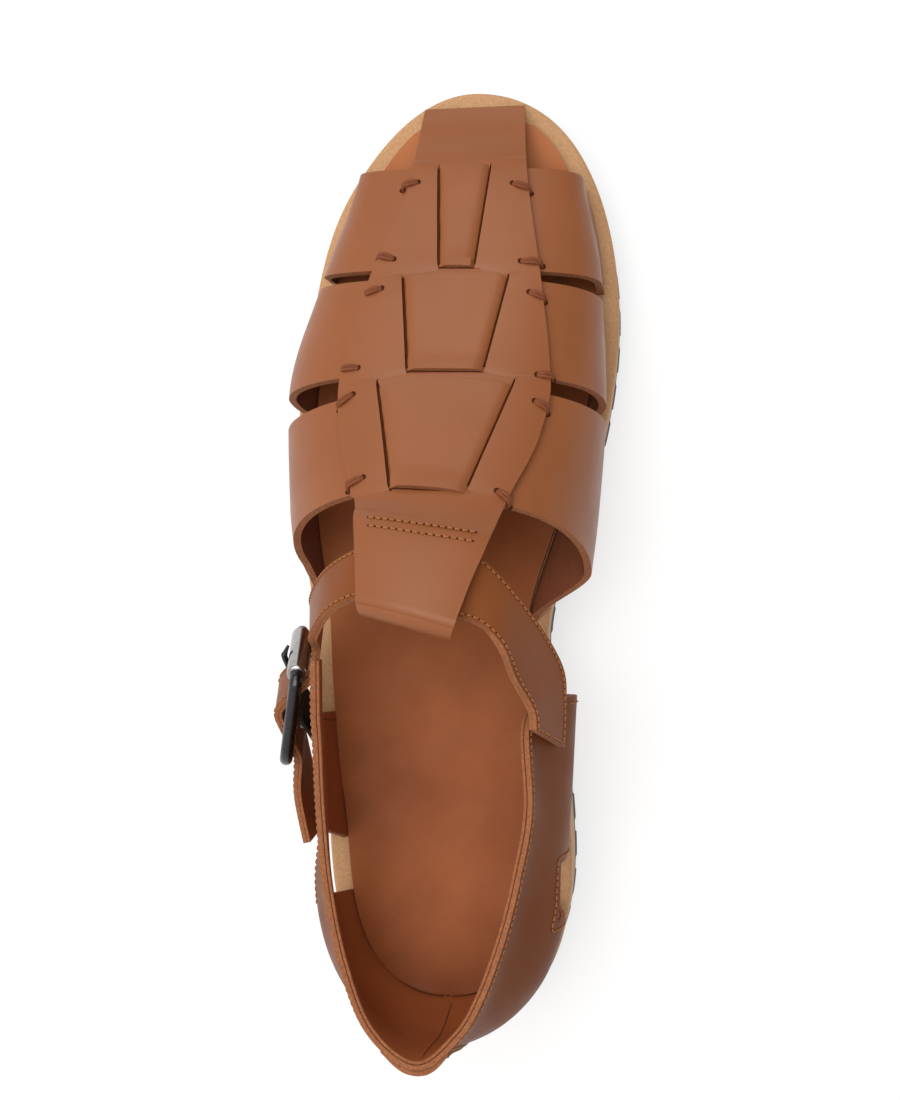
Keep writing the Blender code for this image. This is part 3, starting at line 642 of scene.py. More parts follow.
@lru_cache(maxsize=None)
def ankle_edges():
    """The strap's front and rear edges as points, from its sewn end to the tip of its tail."""
    off = QUARTER_WALL + FOOT_GAP + STRAP_LEATHER / 2
    most = len(QUARTER_ROWS) - 1
    rows = []
    for sewn in SEWN_ROWS:
        front = quarter_point(most - sewn.front_back, sewn.front_rise, off)
        rows.append((front, quarter_point(most - sewn.rear_back, sewn.rear_rise, off)))
    rows += MEDIAL_ROWS
    for x in STRAP_CROSSINGS:
        off_middle = x - LOOP_MIDDLE_X
        ys = STRAP_FRONT_Y + STRAP_FRONT_SKEW * off_middle, STRAP_REAR_Y + STRAP_REAR_SKEW * off_middle
        rows.append([on_last(y, s_at(y, x), STRAP_LIFT) for y in ys])
    rows += LATERAL_ROWS
    for stop in BILLET_ROWS:
        rows.append([buckle_point(side * BILLET_HALF_WIDTH, stop.along, stop.out) for side in (1, -1)])
    for stop in TAIL_ROWS:
        middle = Vector((stop.x, stop.y, stop.z))
        across = Vector((0, stop.lean, -1)).normalized() * BILLET_HALF_WIDTH
        rows.append((middle + across, middle - across))
    return tuple(zip(*rows))


def ankle_end():
    return len(ankle_edges()[0]) - 1


def prong_path():
    """From the centre bar, through the strap, to rest on the roller."""
    rest = ROLLER_RADIUS + PRONG_RADIUS + GAP
    start = CENTRE_BAR_ALONG - CENTRE_BAR_RADIUS - ELASTIC_THICKNESS - PRONG_RADIUS - 3 * GAP
    knee = start - PRONG_KNEE_ALONG, CENTRE_BAR_OUT + PRONG_KNEE_OUT
    tip = PRONG_TIP_ALONG, rest - PRONG_TIP_DROP
    stops = [(start, CENTRE_BAR_OUT), knee, (PRONG_LANDING, rest), (0.0, rest), tip]
    return [buckle_point(0, along, out) for along, out in stops]


# Meshes


def ease(low, high, value):
    """0 below low, 1 above high and smooth between them."""
    t = min(max((value - low) / (high - low), 0.0), 1.0)
    return t * t * (3 - 2 * t)


def piece(name, bm, skins, stands_for=None):
    """A piece of the shoe that rides on its one body, with the points that meet joined."""
    bmesh.ops.remove_doubles(bm, verts=bm.verts, dist=MERGE * MM)
    mesh = bpy.data.meshes.new(name)
    bm.to_mesh(mesh)
    bm.free()
    mesh.shade_smooth()
    for skin in skins:
        mesh.materials.append(MATERIALS[skin])
    obj = bpy.data.objects.new(name, mesh)
    bpy.context.scene.collection.objects.link(obj)
    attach(obj, "root")
    if stands_for:
        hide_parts(stands_for)
    return obj


def loft(rings, pinched=False):
    """A closed solid through rings of points: its two ends are capped, or pinched to lines."""
    bm = bmesh.new()
    levels = [[bm.verts.new(p * MM) for p in ring] for ring in rings]
    count = len(rings[0])
    for low, high in zip(levels, levels[1:]):
        for k in range(count):
            n = (k + 1) % count
            bm.faces.new((low[k], low[n], high[n], high[k]))
    if not pinched:
        bm.faces.new(levels[0])
        bm.faces.new(levels[-1])
    bmesh.ops.remove_doubles(bm, verts=bm.verts, dist=MERGE * MM)
    bmesh.ops.recalc_face_normals(bm, faces=bm.faces)
    return bm


def round_edges(obj, width, angle=45):
    bevel = obj.modifiers.new("round", "BEVEL")
    bevel.width = width * MM
    bevel.segments = 2
    bevel.limit_method = "ANGLE"
    bevel.angle_limit = math.radians(angle)
    obj.modifiers.new("shading", "WEIGHTED_NORMAL")


def sheet(
    name, patches, grain, node, thickness,
    under=FLESH, edge=CUT_EDGE, slot="upper_leather", side=1, rounding=EDGE_ROUND,
):
    """A piece with thickness, from grids of points that join where their points meet."""
    bm = bmesh.new()
    for grid in patches:
        verts = [[bm.verts.new(p * MM) for p in row] for row in grid]
        for low, high in zip(verts, verts[1:]):
            for k in range(len(low) - 1):
                bm.faces.new((low[k], high[k], high[k + 1], low[k + 1]))
    obj = piece(name, bm, (grain, under, edge), node)
    wall = obj.modifiers.new("wall", "SOLIDIFY")
    wall.thickness = thickness * MM
    wall.offset = side
    wall.material_offset = 1
    wall.material_offset_rim = 2
    round_edges(obj, rounding)


def circle(side, other, sides):
    """Directions round a circle through two of them."""
    angles = [2 * math.pi * j / sides for j in range(sides)]
    return [side * math.cos(a) + other * math.sin(a) for a in angles]


def add_tube(bm, points, radii, sides, closed=False, surface=THREAD_SKIN):
    """A round tube along points, with its ends capped unless it is closed."""
    count = len(points)
    side = TUBE_SIDE
    rings = []
    for k, point in enumerate(points):
        before = points[k - 1] if k or closed else point
        after = points[(k + 1) % count] if k + 1 < count or closed else point
        along = (after - before).normalized()
        side = (side - along * side.dot(along)).normalized()
        ways = circle(side, along.cross(side), sides)
        rings.append([bm.verts.new((point + way * radii[k]) * MM) for way in ways])
    spans = list(zip(rings, rings[1:])) + ([(rings[-1], rings[0])] if closed else [])
    faces = []
    for low, high in spans:
        for j in range(sides):
            n = (j + 1) % sides
            faces.append(bm.faces.new((low[j], low[n], high[n], high[j])))
    if not closed:
        faces += [bm.faces.new(rings[0][::-1]), bm.faces.new(rings[-1])]
    for face in faces:
        face.material_index = surface


def add_hole(bm, centre, out, radius):
    """Painted shade of a needle hole: a dark flat spot just over the leather."""
    side = out.orthogonal().normalized()
    ways = circle(side, out.cross(side), HOLE_SIDES)
    spots = [centre + way * radius + out * HOLE_PROUD for way in ways]
    bm.faces.new([bm.verts.new(p * MM) for p in spots]).material_index = HOLE_SKIN


# Stitching


def even_stops(place, stops, pitch):
    """Points at an even pitch, each with the way out: place(stop, lift) is a point lifted off the leather."""
    points = [place(stop, 0.0) for stop in stops]
    ways = [(place(stop, 1.0) - point).normalized() for stop, point in zip(stops, points)]
    lengths = [0.0]
    for a, b in zip(points, points[1:]):
        lengths.append(lengths[-1] + (b - a).length)
    count = max(int(round(lengths[-1] / pitch)), 1)
    path = []
    for at in between(0.0, lengths[-1], count + 1):
        i = min(max(bisect.bisect_right(lengths, at) - 1, 0), len(points) - 2)
        t = (at - lengths[i]) / (lengths[i + 1] - lengths[i])
        path.append((points[i].lerp(points[i + 1], t), ways[i].lerp(ways[i + 1], t).normalized()))
    return path


def add_stitches(bm, place, stops, pitch=STITCH_PITCH, radius=STITCH_RADIUS, thread=THREAD_SKIN):
    """A row of lockstitches with a needle hole at each end."""
    path = even_stops(place, stops, pitch)
    radii = [radius * girth for girth in STITCH_GIRTHS]
    for (a, out_a), (b, out_b) in zip(path, path[1:]):
        out = (out_a + out_b).normalized()
        lifts = [radius * (STITCH_BOW * math.sin(math.pi * t) - STITCH_SINK) for t in STITCH_SHARES]
        points = [a.lerp(b, t) + out * lift for t, lift in zip(STITCH_SHARES, lifts)]
        add_tube(bm, points, radii, THREAD_SIDES, surface=thread)
    for centre, out in path:
        add_hole(bm, centre, out, radius * HOLE_GIRTH)


# Sole


def fine_turns(count):
    """Turns from the heel to the toe, without its ends."""
    return [k / count for k in range(1, count)]


def midsole_ring(turn):
    """A section of the midsole, with a groove near its foot and a round upper edge."""
    ring = []
    for side in (-1, 1):
        edge = outline(side * turn)
        low = smooth(SOLE_ROWS, "floor", edge.y) + OUTSOLE_THICKNESS + MIDSOLE_SEAT
        stops = [(low + rise, inset) for rise, inset in MIDSOLE_GROOVE]
        stops.append((smooth(SOLE_ROWS, "top", edge.y) - MIDSOLE_CHAMFER, 0.0))
        wall = [outline(side * turn, inset) + Vector((0, 0, z)) for z, inset in stops]
        for angle in between(15, 90, 6):
            turned = math.radians(angle)
            point = outline(side * turn, MIDSOLE_CHAMFER * (1 - math.cos(turned)))
            top = smooth(SOLE_ROWS, "top", point.y)
            wall.append(point + Vector((0, 0, top - MIDSOLE_CHAMFER * (1 - math.sin(turned)))))
        ring += wall if side < 0 else wall[::-1]
    return ring


def make_midsole():
    rings = [midsole_ring(turn) for turn in between(0, 1, 151)]
    obj = piece("midsole_rim", loft(rings, pinched=True), ["honey_midsole"], "midsole")
    obj.data.set_sharp_from_angle(angle=math.radians(60))


def make_insole():
    grid = []
    for turn in fine_turns(110):
        left, right = rim_point(-turn, INSOLE_INSET), rim_point(turn, INSOLE_INSET)
        depth = smooth(DISH_ROWS, "depth", left.y)
        row = []
        for share in between(-1, 1, 41):
            dish = depth * (1 - share * share) ** 2
            row.append(left.lerp(right, (share + 1) / 2) + Vector((0, 0, INSOLE_THICKNESS - dish)))
        grid.append(row[::-1])
    name = "insole_leather"
    sheet(name, [grid], name, "insole", INSOLE_THICKNESS, slot=name, side=-1, rounding=0.6)


def outsole_ring(y, lug):
    """A section of the outsole: a lug stands proud and low, a groove is flush and high."""
    floor = smooth(SOLE_ROWS, "floor", y)
    proud = LUG_PROUD if lug else 0.0
    left = Vector((sole_x(y, -1) - proud, y, floor))
    right = Vector((sole_x(y, 1) + proud, y, floor))
    roof = Vector((0, 0, LUG_DEPTH))
    raised = Vector((0, 0, 0)) if lug else roof
    ring = [left + Vector((proud, 0, OUTSOLE_THICKNESS)), left + raised]
    for start, end in CHANNELS:
        near, far = left.lerp(right, start), left.lerp(right, end)
        ring += [near + raised, near + roof, far + roof, far + raised]
    return ring + [right + raised, right + Vector((-proud, 0, OUTSOLE_THICKNESS))]


def make_outsole():
    """The tread: plain at the heel's back and the toe, lugs and grooves between them."""
    stations = [outline(t).y for t in fine_turns(SOLE_STATIONS)]
    heel, toe = stations[PLAIN_STATIONS], stations[-1 - PLAIN_STATIONS]
    ys = [outline(t).y for t in fine_turns(SOLE_STATIONS * 4)]
    marks = [(y, True) for y in ys if y <= heel or y >= toe]
    k = math.ceil((heel + LUG_PITCH) / LUG_PITCH)
    while k * LUG_PITCH + LUG_LENGTH < toe:
        low, high = k * LUG_PITCH - LUG_LENGTH / 2, k * LUG_PITCH + LUG_LENGTH / 2
        groove = high + (LUG_PITCH - LUG_LENGTH) / 2
        marks += [(low - LUG_DRAFT, False)] + [(y, True) for y in between(low, high, 4)]
        marks += [(high + LUG_DRAFT, False), (groove, False)]
        k += 1
    rings = [outsole_ring(y, lug) for y, lug in sorted(marks)]
    obj = piece("outsole_tread", loft(rings), ["dark_rubber"], "outsole")
    round_edges(obj, width=0.35, angle=40)


# Woven vamp


def mid_y(row, share):
    """y on the crown, share of the way from a strap's front edge to its rear edge."""
    return row.front_mid + (row.rear_mid - row.front_mid) * share


def make_strap(row):
    """A strap from sole to sole: under the bar's two rails, and over its middle."""
    grid = []
    for share in between(0, 1, 30):
        left, right = slit_x(row, "left", share), slit_x(row, "right", share)
        curl = PANEL_CURL * ease(PANEL_CURL_FROM, 1.0, share)
        line = []
        for s in [-1.0] + between(UPRIGHT - 1, 1 - UPRIGHT, 190) + [1.0]:
            y = strap_edge(row, "front", s) * (1 - share) + strap_edge(row, "rear", s) * share
            x = last_point(y, s).x
            y += row.slant * share * min(max(x - (left + right) / 2, -PANEL_REACH), PANEL_REACH)
            climbed = ease(left + LEFT_CLIMB[0], left + LEFT_CLIMB[1], x)
            sunk = ease(right + RIGHT_CLIMB[0], right + RIGHT_CLIMB[1], x)
            line.append(on_last(y, s, (LEATHER + curl) * (climbed * (1 - sunk))))
        grid.append(line)
    sheet(row.name, [grid], "tan_leather", "vamp", LEATHER)


def bar_row(y, slits, opening, rail_lift, inner_lift, tongue_lift):
    """One row across the bar, as a left rail, a tongue and a right rail."""
    left, right = smooth(BAR_ROWS, "left", y), smooth(BAR_ROWS, "right", y)
    left_slit, right_slit = slits or between(left, right, 4)[1:3]
    gap = opening / 2
    rails = [rail_lift + (inner_lift - rail_lift) * t * t for t in between(0, 1, RAIL_COLUMNS)]
    spans = (
        (between(left, left_slit - gap, RAIL_COLUMNS), rails),
        (between(left_slit + gap, right_slit - gap, TONGUE_COLUMNS), [tongue_lift] * TONGUE_COLUMNS),
        (between(right_slit + gap, right, RAIL_COLUMNS), rails[::-1]),
    )
    return [[bar_point(y, x, lift) for x, lift in zip(xs, lifts)] for xs, lifts in spans]


def whole_bar_row(y, lift):
    """A row where the bar isn't slit."""
    return bar_row(y, None, 0.0, lift, lift, lift)


def bar_under_strap(row):
    """The bar's rows along one strap: closed at the strap's two edges and slit between them."""
    rows = []
    for share in [-SLIT_END] + between(0.0, 1.0, 26) + [1 + SLIT_END]:
        slits = slit_x(row, "left", share), slit_x(row, "right", share)
        front, rear = 1 - ease(0.0, TONGUE_EASE, share), ease(1 - TONGUE_EASE, 1.0, share)
        tongue = FRONT_END_LIFT * front + REAR_END_LIFT * rear
        open_share = ease(-SLIT_END, SLIT_MOUTH, share) * (1 - ease(1 - SLIT_MOUTH, 1 + SLIT_END, share))
        inner = WEAVE_LIFT + (tongue - WEAVE_LIFT) * (1 - open_share)
        rows.append(bar_row(mid_y(row, share), slits, SLIT_OPENING * open_share, WEAVE_LIFT, inner, tongue))
    return rows


def slit_line(row, side):
    """Where the painted shade of a slit runs: its inside, just under the bar's face."""
    depth = WEAVE_LIFT + RAIL_LEATHER - SLIT_SHADE - SHADE_DEPTH
    shares = between(SLIT_END, 1 - SLIT_END, 24)
    return [bar_point(mid_y(row, share), slit_x(row, side, share), depth) for share in shares]


def panel_line(row):
    """Where the painted shade under a panel's rear edge runs: the foot of that edge."""
    left, right = slit_x(row, "left", 1.0), slit_x(row, "right", 1.0)
    points = []
    for x in between(left, right, 24):
        y = strap_edge(row, "rear", s_at(row.rear_mid, x)) + row.slant * (x - (left + right) / 2)
        points.append(bar_point(y - SHADE_BEHIND, x, REAR_END_LIFT + RAIL_LEATHER - SHADE_DEPTH))
    return points


def make_slit_shade():
    """Painted shade: dark tubes in the bar's slits and under each panel's rear edge, standing in for their
    shadow.
    """
    bm = bmesh.new()
    for row in STRAP_ROWS:
        for line in (slit_line(row, "left"), slit_line(row, "right"), panel_line(row)):
            add_tube(bm, line, [SLIT_SHADE] * len(line), THREAD_SIDES)
    piece("vamp_slit_shade", bm, ["dark_slit"])


def loop_path():
    """y and lift of the bar's end: over the ankle strap, round the fold and back under it."""
    middle, radius = (LOOP_TOP + LOOP_BOTTOM) / 2, (LOOP_TOP - LOOP_BOTTOM) / 2
    stops = [Vector(row) for row in (LOOP_START, *LOOP_OVER)]
    for angle in between(0, math.pi, 7):
        stops.append(Vector((LOOP_FOLD_Y - radius * math.sin(angle), middle + radius * math.cos(angle))))
    stops += [Vector(row) for row in LOOP_UNDER]
    most = len(stops) - 1
    return [flowing(stops, t) for t in between(0, most, LOOP_STEPS * most + 1)]


def make_bar():
    """The bar, from the toe, past the three straps, to its loop."""
    rows = []
    front = STRAP_ROWS[0].front_mid
    for y in between(BAR_ROWS[-1].y, front + TOE_REACH, 26):
        fall = ease(front + TOE_EASE[0], front + TOE_EASE[1], y)
        rows.append(whole_bar_row(y, FRONT_END_LIFT * (1 - fall)))
    for row in STRAP_ROWS:
        rows += bar_under_strap(row)
    rows += [whole_bar_row(stop.x, stop.y) for stop in loop_path()]
    patches = [[row[k] for row in rows] for k in range(3)]
    sheet("vamp_bar", patches, "tan_leather", "vamp", RAIL_LEATHER)


def on_loop(stop, lift):
    """A point lifted off the loop's upper face: x across it, on the row of the bar at y."""
    x, y = stop
    over = loop_path()[: LOOP_STEPS * len(LOOP_OVER)]
    k = min(range(len(over) - 1), key=lambda i: abs((over[i].x + over[i + 1].x) / 2 - y))
    slope = (over[k + 1].y - over[k].y) / (over[k + 1].x - over[k].x)
    base = over[k].y + slope * (y - over[k].x)
    return bar_point(y, x, base + RAIL_LEATHER * math.hypot(1, slope) + lift)


def lace_point(row, t, lift):
    """A point that rises from the strap to the bar and runs on over it: t runs from hole to hole."""
    x = row.outer_x + (row.inner_x - row.outer_x) * t
    y = row.outer_y + (row.inner_y - row.outer_y) * t
    step = (WEAVE_LIFT + RAIL_LEATHER - LEATHER) * ease(0.0, LACE_STEP, t)
    return on_last(y, s_at(y, x), LEATHER + step + lift)


def make_laces():
    """Short doubled laces that tie the bar's edges to the straps."""
    bm = bmesh.new()
    for row in LACE_ROWS:
        holes = [lace_point(row, t, 0.0) for t in (0, 1)]
        out = (lace_point(row, 0.5, LACE_PROBE) - lace_point(row, 0.5, 0.0)).normalized()
        across = (holes[1] - holes[0]).cross(out).normalized()
        for strand in (-1, 1):
            points = []
            for t in between(0, 1, 13):
                bow = math.sin(math.pi * t)
                lift = LACE_ARCH * bow**0.5 - LACE_SINK * (1 - bow)
                spread = strand * LACE_RADIUS * (LACE_CLOSE + LACE_SPREAD * bow)
                points.append(lace_point(row, t, lift) + across * spread)
            add_tube(bm, points, [LACE_RADIUS] * len(points), sides=8)
        for centre in holes:
            add_hole(bm, centre, out, LACE_HOLE)
    piece("vamp_laces", bm, LACE_SKINS)


# Heel quarter


def quarter_stretches():
    """Columns of the quarter from the lateral strip to the medial front, broken where its openings end."""
    low, high = CUT_OUT_TURNS
    ends = (QUARTER_ROWS[0].turn, STRIP_TURN, -high, -low, low, high, QUARTER_ROWS[-1].turn)
    counts = (15, 32, 21, 110, 21, 38)
    return [between(*span) for span in zip(ends, ends[1:], counts)]


def quarter_patch(turns, heights, lift):
    """Part of the wall: heights are shares of the way from the sole to the collar."""
    return [[wall_point(turn, v * collar_share(turn), lift) for v in heights] for turn in turns]


def make_quarter(name, lift, thickness, grain, under=FLESH):
    """A layer of the wall, with an opening at each side and only a strip at its lateral front."""
    strip, lateral, lateral_opening, heel, medial_opening, medial = quarter_stretches()
    foot = between(0, CUT_OUT_RISE, 18)
    middle = between(CUT_OUT_RISE, STRIP_RISE, 12)
    top = between(STRIP_RISE, 1, 8)
    patches = [quarter_patch(turns, foot, lift) for turns in (lateral, heel, medial)]
    for turns in (lateral, lateral_opening, heel, medial_opening, medial):
        patches += [quarter_patch(turns, middle, lift), quarter_patch(turns, top, lift)]
    patches.append(quarter_patch(strip, top, lift))
    sheet(name, patches, grain, "quarter", thickness, under)


def skived(turn):
    """How much thinner the backstay is towards its sides."""
    return BACKSTAY_SKIVE * ease(SKIVE_FROM, 1.0, abs(turn) / BACKSTAY_TURN)


def make_backstay():
    heights = between(BACKSTAY_FOOT, BACKSTAY_TOP, 40)
    grid = []
    for turn in between(-BACKSTAY_TURN, BACKSTAY_TURN, 31):
        lift = QUARTER_WALL + BACKSTAY_SEAT - skived(turn)
        grid.append([wall_point(turn, v, lift) for v in heights])
    sheet("backstay_strip", [grid], "quarter_leather", "backstay", BACKSTAY_FACE - BACKSTAY_SEAT)


def on_quarter(stop, lift):
    return wall_point(*stop, QUARTER_WALL + lift)


def in_quarter(stop, lift):
    return wall_point(*stop, -lift)


def on_backstay(stop, lift):
    return wall_point(*stop, QUARTER_WALL + BACKSTAY_FACE - skived(stop[0]) + lift)


def window_stops(side):
    """Stops round three edges of an opening at the sole, a margin outside them."""
    rear, front = CUT_OUT_TURNS[0] - WINDOW_STITCH_TURN, CUT_OUT_TURNS[1] + WINDOW_STITCH_TURN
    top = CUT_OUT_RISE + WINDOW_STITCH_RISE
    stops = [(rear, v) for v in between(WINDOW_STITCH_FOOT, top, 14)]
    stops += [(turn, top) for turn in between(rear, front, 10)[1:-1]]
    stops += [(front, v) for v in between(top, WINDOW_STITCH_FOOT, 14)]
    return [(side * turn, v) for turn, v in stops]


def sew_quarter(bm):
    """Stitches along the collar, round the openings, down the fronts and the heel."""
    first, last = QUARTER_ROWS[0].turn, QUARTER_ROWS[-1].turn
    turns = between(first + COLLAR_STITCH_END, last - COLLAR_STITCH_END, 160)
    add_stitches(bm, on_quarter, [(turn, collar_share(turn) - COLLAR_STITCH_DROP) for turn in turns])
    for side in (-1, 1):
        add_stitches(bm, on_quarter, window_stops(side))
        turn = side * (BACKSTAY_TURN - BACKSTAY_STITCH_TURN)
        add_stitches(bm, on_backstay, [(turn, v) for v in between(*BACKSTAY_STITCH_RISE, 40)])
    lateral = [(STRIP_TURN + FRONT_STITCH_TURN, v) for v in between(FRONT_STITCH_FOOT, STRIP_RISE, 30)]
    medial = [(last - FRONT_STITCH_TURN, v) for v in between(FRONT_STITCH_FOOT, MEDIAL_STITCH_TOP, 30)]
    heel = [(HEEL_SEAM_TURN, v) for v in between(*HEEL_SEAM_RISE, 30)]
    for stops in (lateral, medial):
        add_stitches(bm, on_quarter, stops)
    for stops in (lateral, heel):
        add_stitches(bm, in_quarter, stops, radius=0.2, thread=INNER_THREAD_SKIN)


# Ankle strap


def strap_middle(t, share):
    fronts, rears = ankle_edges()
    return flowing(fronts, t).lerp(flowing(rears, t), share)


def on_strap(stop, lift):
    """A point lifted off the strap's middle layer: t counts its rows, share runs front to rear."""
    t, share = stop
    step = 0.05
    along = strap_middle(min(t + step, ankle_end()), share) - strap_middle(max(t - step, 0), share)
    across = strap_middle(t, min(share + step, 1)) - strap_middle(t, max(share - step, 0))
    return strap_middle(t, share) + along.cross(across).normalized() * lift


def make_ankle_layer(name, lift, thickness, grain, under=FLESH):
    grid = []
    for t in between(0, ankle_end(), 20 * ankle_end() + 1):
        grid.append([on_strap((t, share), lift) for share in between(0, 1, 15)])
    sheet(name, [grid], grain, "ankle_strap", thickness, under)


def make_layers():
    """The quarter and the ankle strap, each a lining under an outer leather."""
    outer, inside, soft = LINING + SEAM, -STRAP_LEATHER / 2, "lining_leather"
    make_quarter("quarter_lining", 0.0, LINING, soft, soft)
    make_quarter("quarter_leather", outer, QUARTER_WALL - outer, "quarter_leather")
    make_ankle_layer("ankle_strap_leather", inside + outer, STRAP_LEATHER - outer, "strap_leather")
    make_ankle_layer("ankle_strap_lining", inside, LINING, soft, soft)


def strap_top(stop, lift):
    return on_strap(stop, STRAP_LEATHER / 2 + lift)


def sew_strap(bm):
    edges = STRAP_STITCH_SHARE, 1 - STRAP_STITCH_SHARE
    ends = STRAP_STITCH_START, ankle_end() - STRAP_STITCH_STOP
    for share in edges:
        add_stitches(bm, strap_top, [(t, share) for t in between(*ends, 260)])
    for t in ends:
        add_stitches(bm, strap_top, [(t, share) for share in between(*edges, 12)])


def make_stitching():
    bm = bmesh.new()
    sew_quarter(bm)
    sew_strap(bm)
    for row in LOOP_STITCH_ROWS:
        stops = list(zip(between(row.left_x, row.right_x, 21), between(row.left_y, row.right_y, 21)))
        add_stitches(bm, on_loop, stops, pitch=2.05, radius=0.3)
    piece("upper_stitching", bm, STITCH_SKINS)


# Buckle and elastic


def metal_tube(name, points, radii, node, metal="gunmetal", sides=16, closed=False):
    bm = bmesh.new()
    add_tube(bm, points, radii, sides, closed)
    piece(name, bm, [metal], node)


def frame_path():
    """The buckle's frame: two small corners at the roller and two wide ones at the tail."""
    half, length, small, wide = FRAME_HALF_WIDTH, FRAME_LENGTH, FRAME_SMALL_CORNER, FRAME_CORNER
    corners = (
        (half - small, small, small, -90),
        (half - wide, length - wide, wide, 0),
        (wide - half, length - wide, wide, 90),
        (small - half, small, small, 180),
    )
    points = []
    for across, along, radius, start in corners:
        for angle in between(start, start + 90, 12):
            turn = math.radians(angle)
            aside, ahead = radius * math.cos(turn), radius * math.sin(turn)
            points.append(buckle_point(across + aside, along + ahead, 0))
    return points


def make_buckle():
    """Frame, centre bar, roller and prong."""
    path = frame_path()
    metal_tube("frame_wire", path, [WIRE_RADIUS] * len(path), "buckle_frame", closed=True)
    ends = [buckle_point(side * FRAME_HALF_WIDTH, CENTRE_BAR_ALONG, CENTRE_BAR_OUT) for side in (-1, 1)]
    metal_tube("frame_bar", ends, [CENTRE_BAR_RADIUS] * 2, "buckle_frame")
    points = [buckle_point(row.share * ROLLER_HALF_LENGTH, 0, 0) for row in ROLLER_ROWS]
    radii = [ROLLER_RADIUS * row.girth for row in ROLLER_ROWS]
    metal_tube("roller_tube", points, radii, "buckle_roller", "roller_nickel", sides=32)
    stops = prong_path()
    points = [flowing(stops, t) for t in between(0, len(stops) - 1, 33)]
    radii = [PRONG_RADIUS * (1 - PRONG_TAPER * ease(PRONG_TAPER_FROM, 1.0, t)) for t in between(0, 1, 33)]
    metal_tube("prong_pin", points, radii, "buckle_prong")


def elastic_path():
    """The elastic's way round the centre bar and down, as stops along and out."""
    radius = CENTRE_BAR_RADIUS + GAP
    path = [(CENTRE_BAR_ALONG + ELASTIC_LAP, CENTRE_BAR_OUT + radius)]
    for angle in between(-ELASTIC_WRAP, ELASTIC_WRAP, 9):
        turn = math.radians(angle)
        path.append((CENTRE_BAR_ALONG - radius * math.cos(turn), CENTRE_BAR_OUT - radius * math.sin(turn)))
    along, drop = ELASTIC_LEAVES
    path.append((CENTRE_BAR_ALONG + along, CENTRE_BAR_OUT - radius - drop))
    return path + [(ELASTIC_END, ELASTIC_END_OUT)]


def make_elastic():
    across = between(-ELASTIC_HALF_WIDTH, ELASTIC_HALF_WIDTH, 25)
    grid = [[buckle_point(x, *stop) for x in across] for stop in elastic_path()]
    looks = {"under": WEBBING, "edge": WEBBING, "slot": "elastic", "rounding": 0.2}
    sheet("elastic_band", [grid], WEBBING, "elastic_tab", ELASTIC_THICKNESS, **looks)


def make_zigzag():
    """The pale zigzag that holds the elastic's fold."""
    bm = bmesh.new()
    near, far = (Vector(stop) for stop in elastic_path()[-2:])
    lift = BUCKLE_OUT * (ELASTIC_THICKNESS + ZIGZAG_LIFT)
    for across in between(-ELASTIC_HALF_WIDTH + 1, ELASTIC_HALF_WIDTH - 2, 9):
        start = buckle_point(across, *near.lerp(far, ZIGZAG_START)) + lift
        for step, share in ZIGZAG_ENDS:
            end = buckle_point(across + step, *near.lerp(far, share)) + lift
            add_tube(bm, [start, end], [ZIGZAG_RADIUS] * 2, THREAD_SIDES)
    piece("elastic_zigzag", bm, ["pale_thread"])


# Materials


class Nodes:
    """A short way to wire a material or the sky: an input takes a number, a colour or another's output."""

    def __init__(self, owner, place):
        owner.use_nodes = True
        self.owner, self.tree = owner, owner.node_tree
        self.place = self.add("ShaderNodeTexCoord").outputs[place]

    def plug(self, node, inputs):
        for key, value in inputs.items():
            if isinstance(value, bpy.types.NodeSocket):
                self.tree.links.new(value, node.inputs[key])
            else:
                node.inputs[key].default_value = value

    def add(self, kind, inputs=None, **settings):
        node = self.tree.nodes.new(kind)
        for key, value in settings.items():
            setattr(node, key, value)
        self.plug(node, inputs or {})
        return node

    def noise(self, scale, detail=4.0, roughness=0.55):
        inputs = {"Vector": self.place, "Scale": scale, "Detail": detail, "Roughness": roughness}
        return self.add("ShaderNodeTexNoise", inputs).outputs["Fac"]

    def cells(self, scale):
        inputs = {"Vector": self.place, "Scale": scale}
        return self.add("ShaderNodeTexVoronoi", inputs, feature="SMOOTH_F1").outputs["Distance"]

    def spread(self, source, low=0.0, high=1.0, start=0.3, end=0.7):
        """A value that runs from low to high while the source runs from start to end."""
        inputs = {"Value": source, "From Min": start, "From Max": end, "To Min": low, "To Max": high}
        return self.add("ShaderNodeMapRange", inputs).outputs["Result"]

    def along_foot(self, start, end):
        """A share that grows from 0 to 1 between two places along the shoe, in millimetres."""
        split = self.add("ShaderNodeSeparateXYZ", {0: self.place})
        return self.spread(split.outputs["Y"], start=start * MM, end=end * MM)

    def blend(self, share, first, second):
        inputs = {"Factor": share, 6: first, 7: second}
        return self.add("ShaderNodeMix", inputs, data_type="RGBA").outputs[2]

    def bump(self, height, strength, depth, **others):
        inputs = {"Height": height, "Strength": strength, "Distance": depth * MM, **others}
        return self.add("ShaderNodeBump", inputs).outputs["Normal"]

    def finish(self, shader, inputs):
        self.plug(self.tree.nodes[shader], inputs)
        return self.owner


def new_material(name):
    MATERIALS[name] = bpy.data.materials.new(name)
    return Nodes(MATERIALS[name], "Object")


def opaque(colour):
    return (*colour, 1)


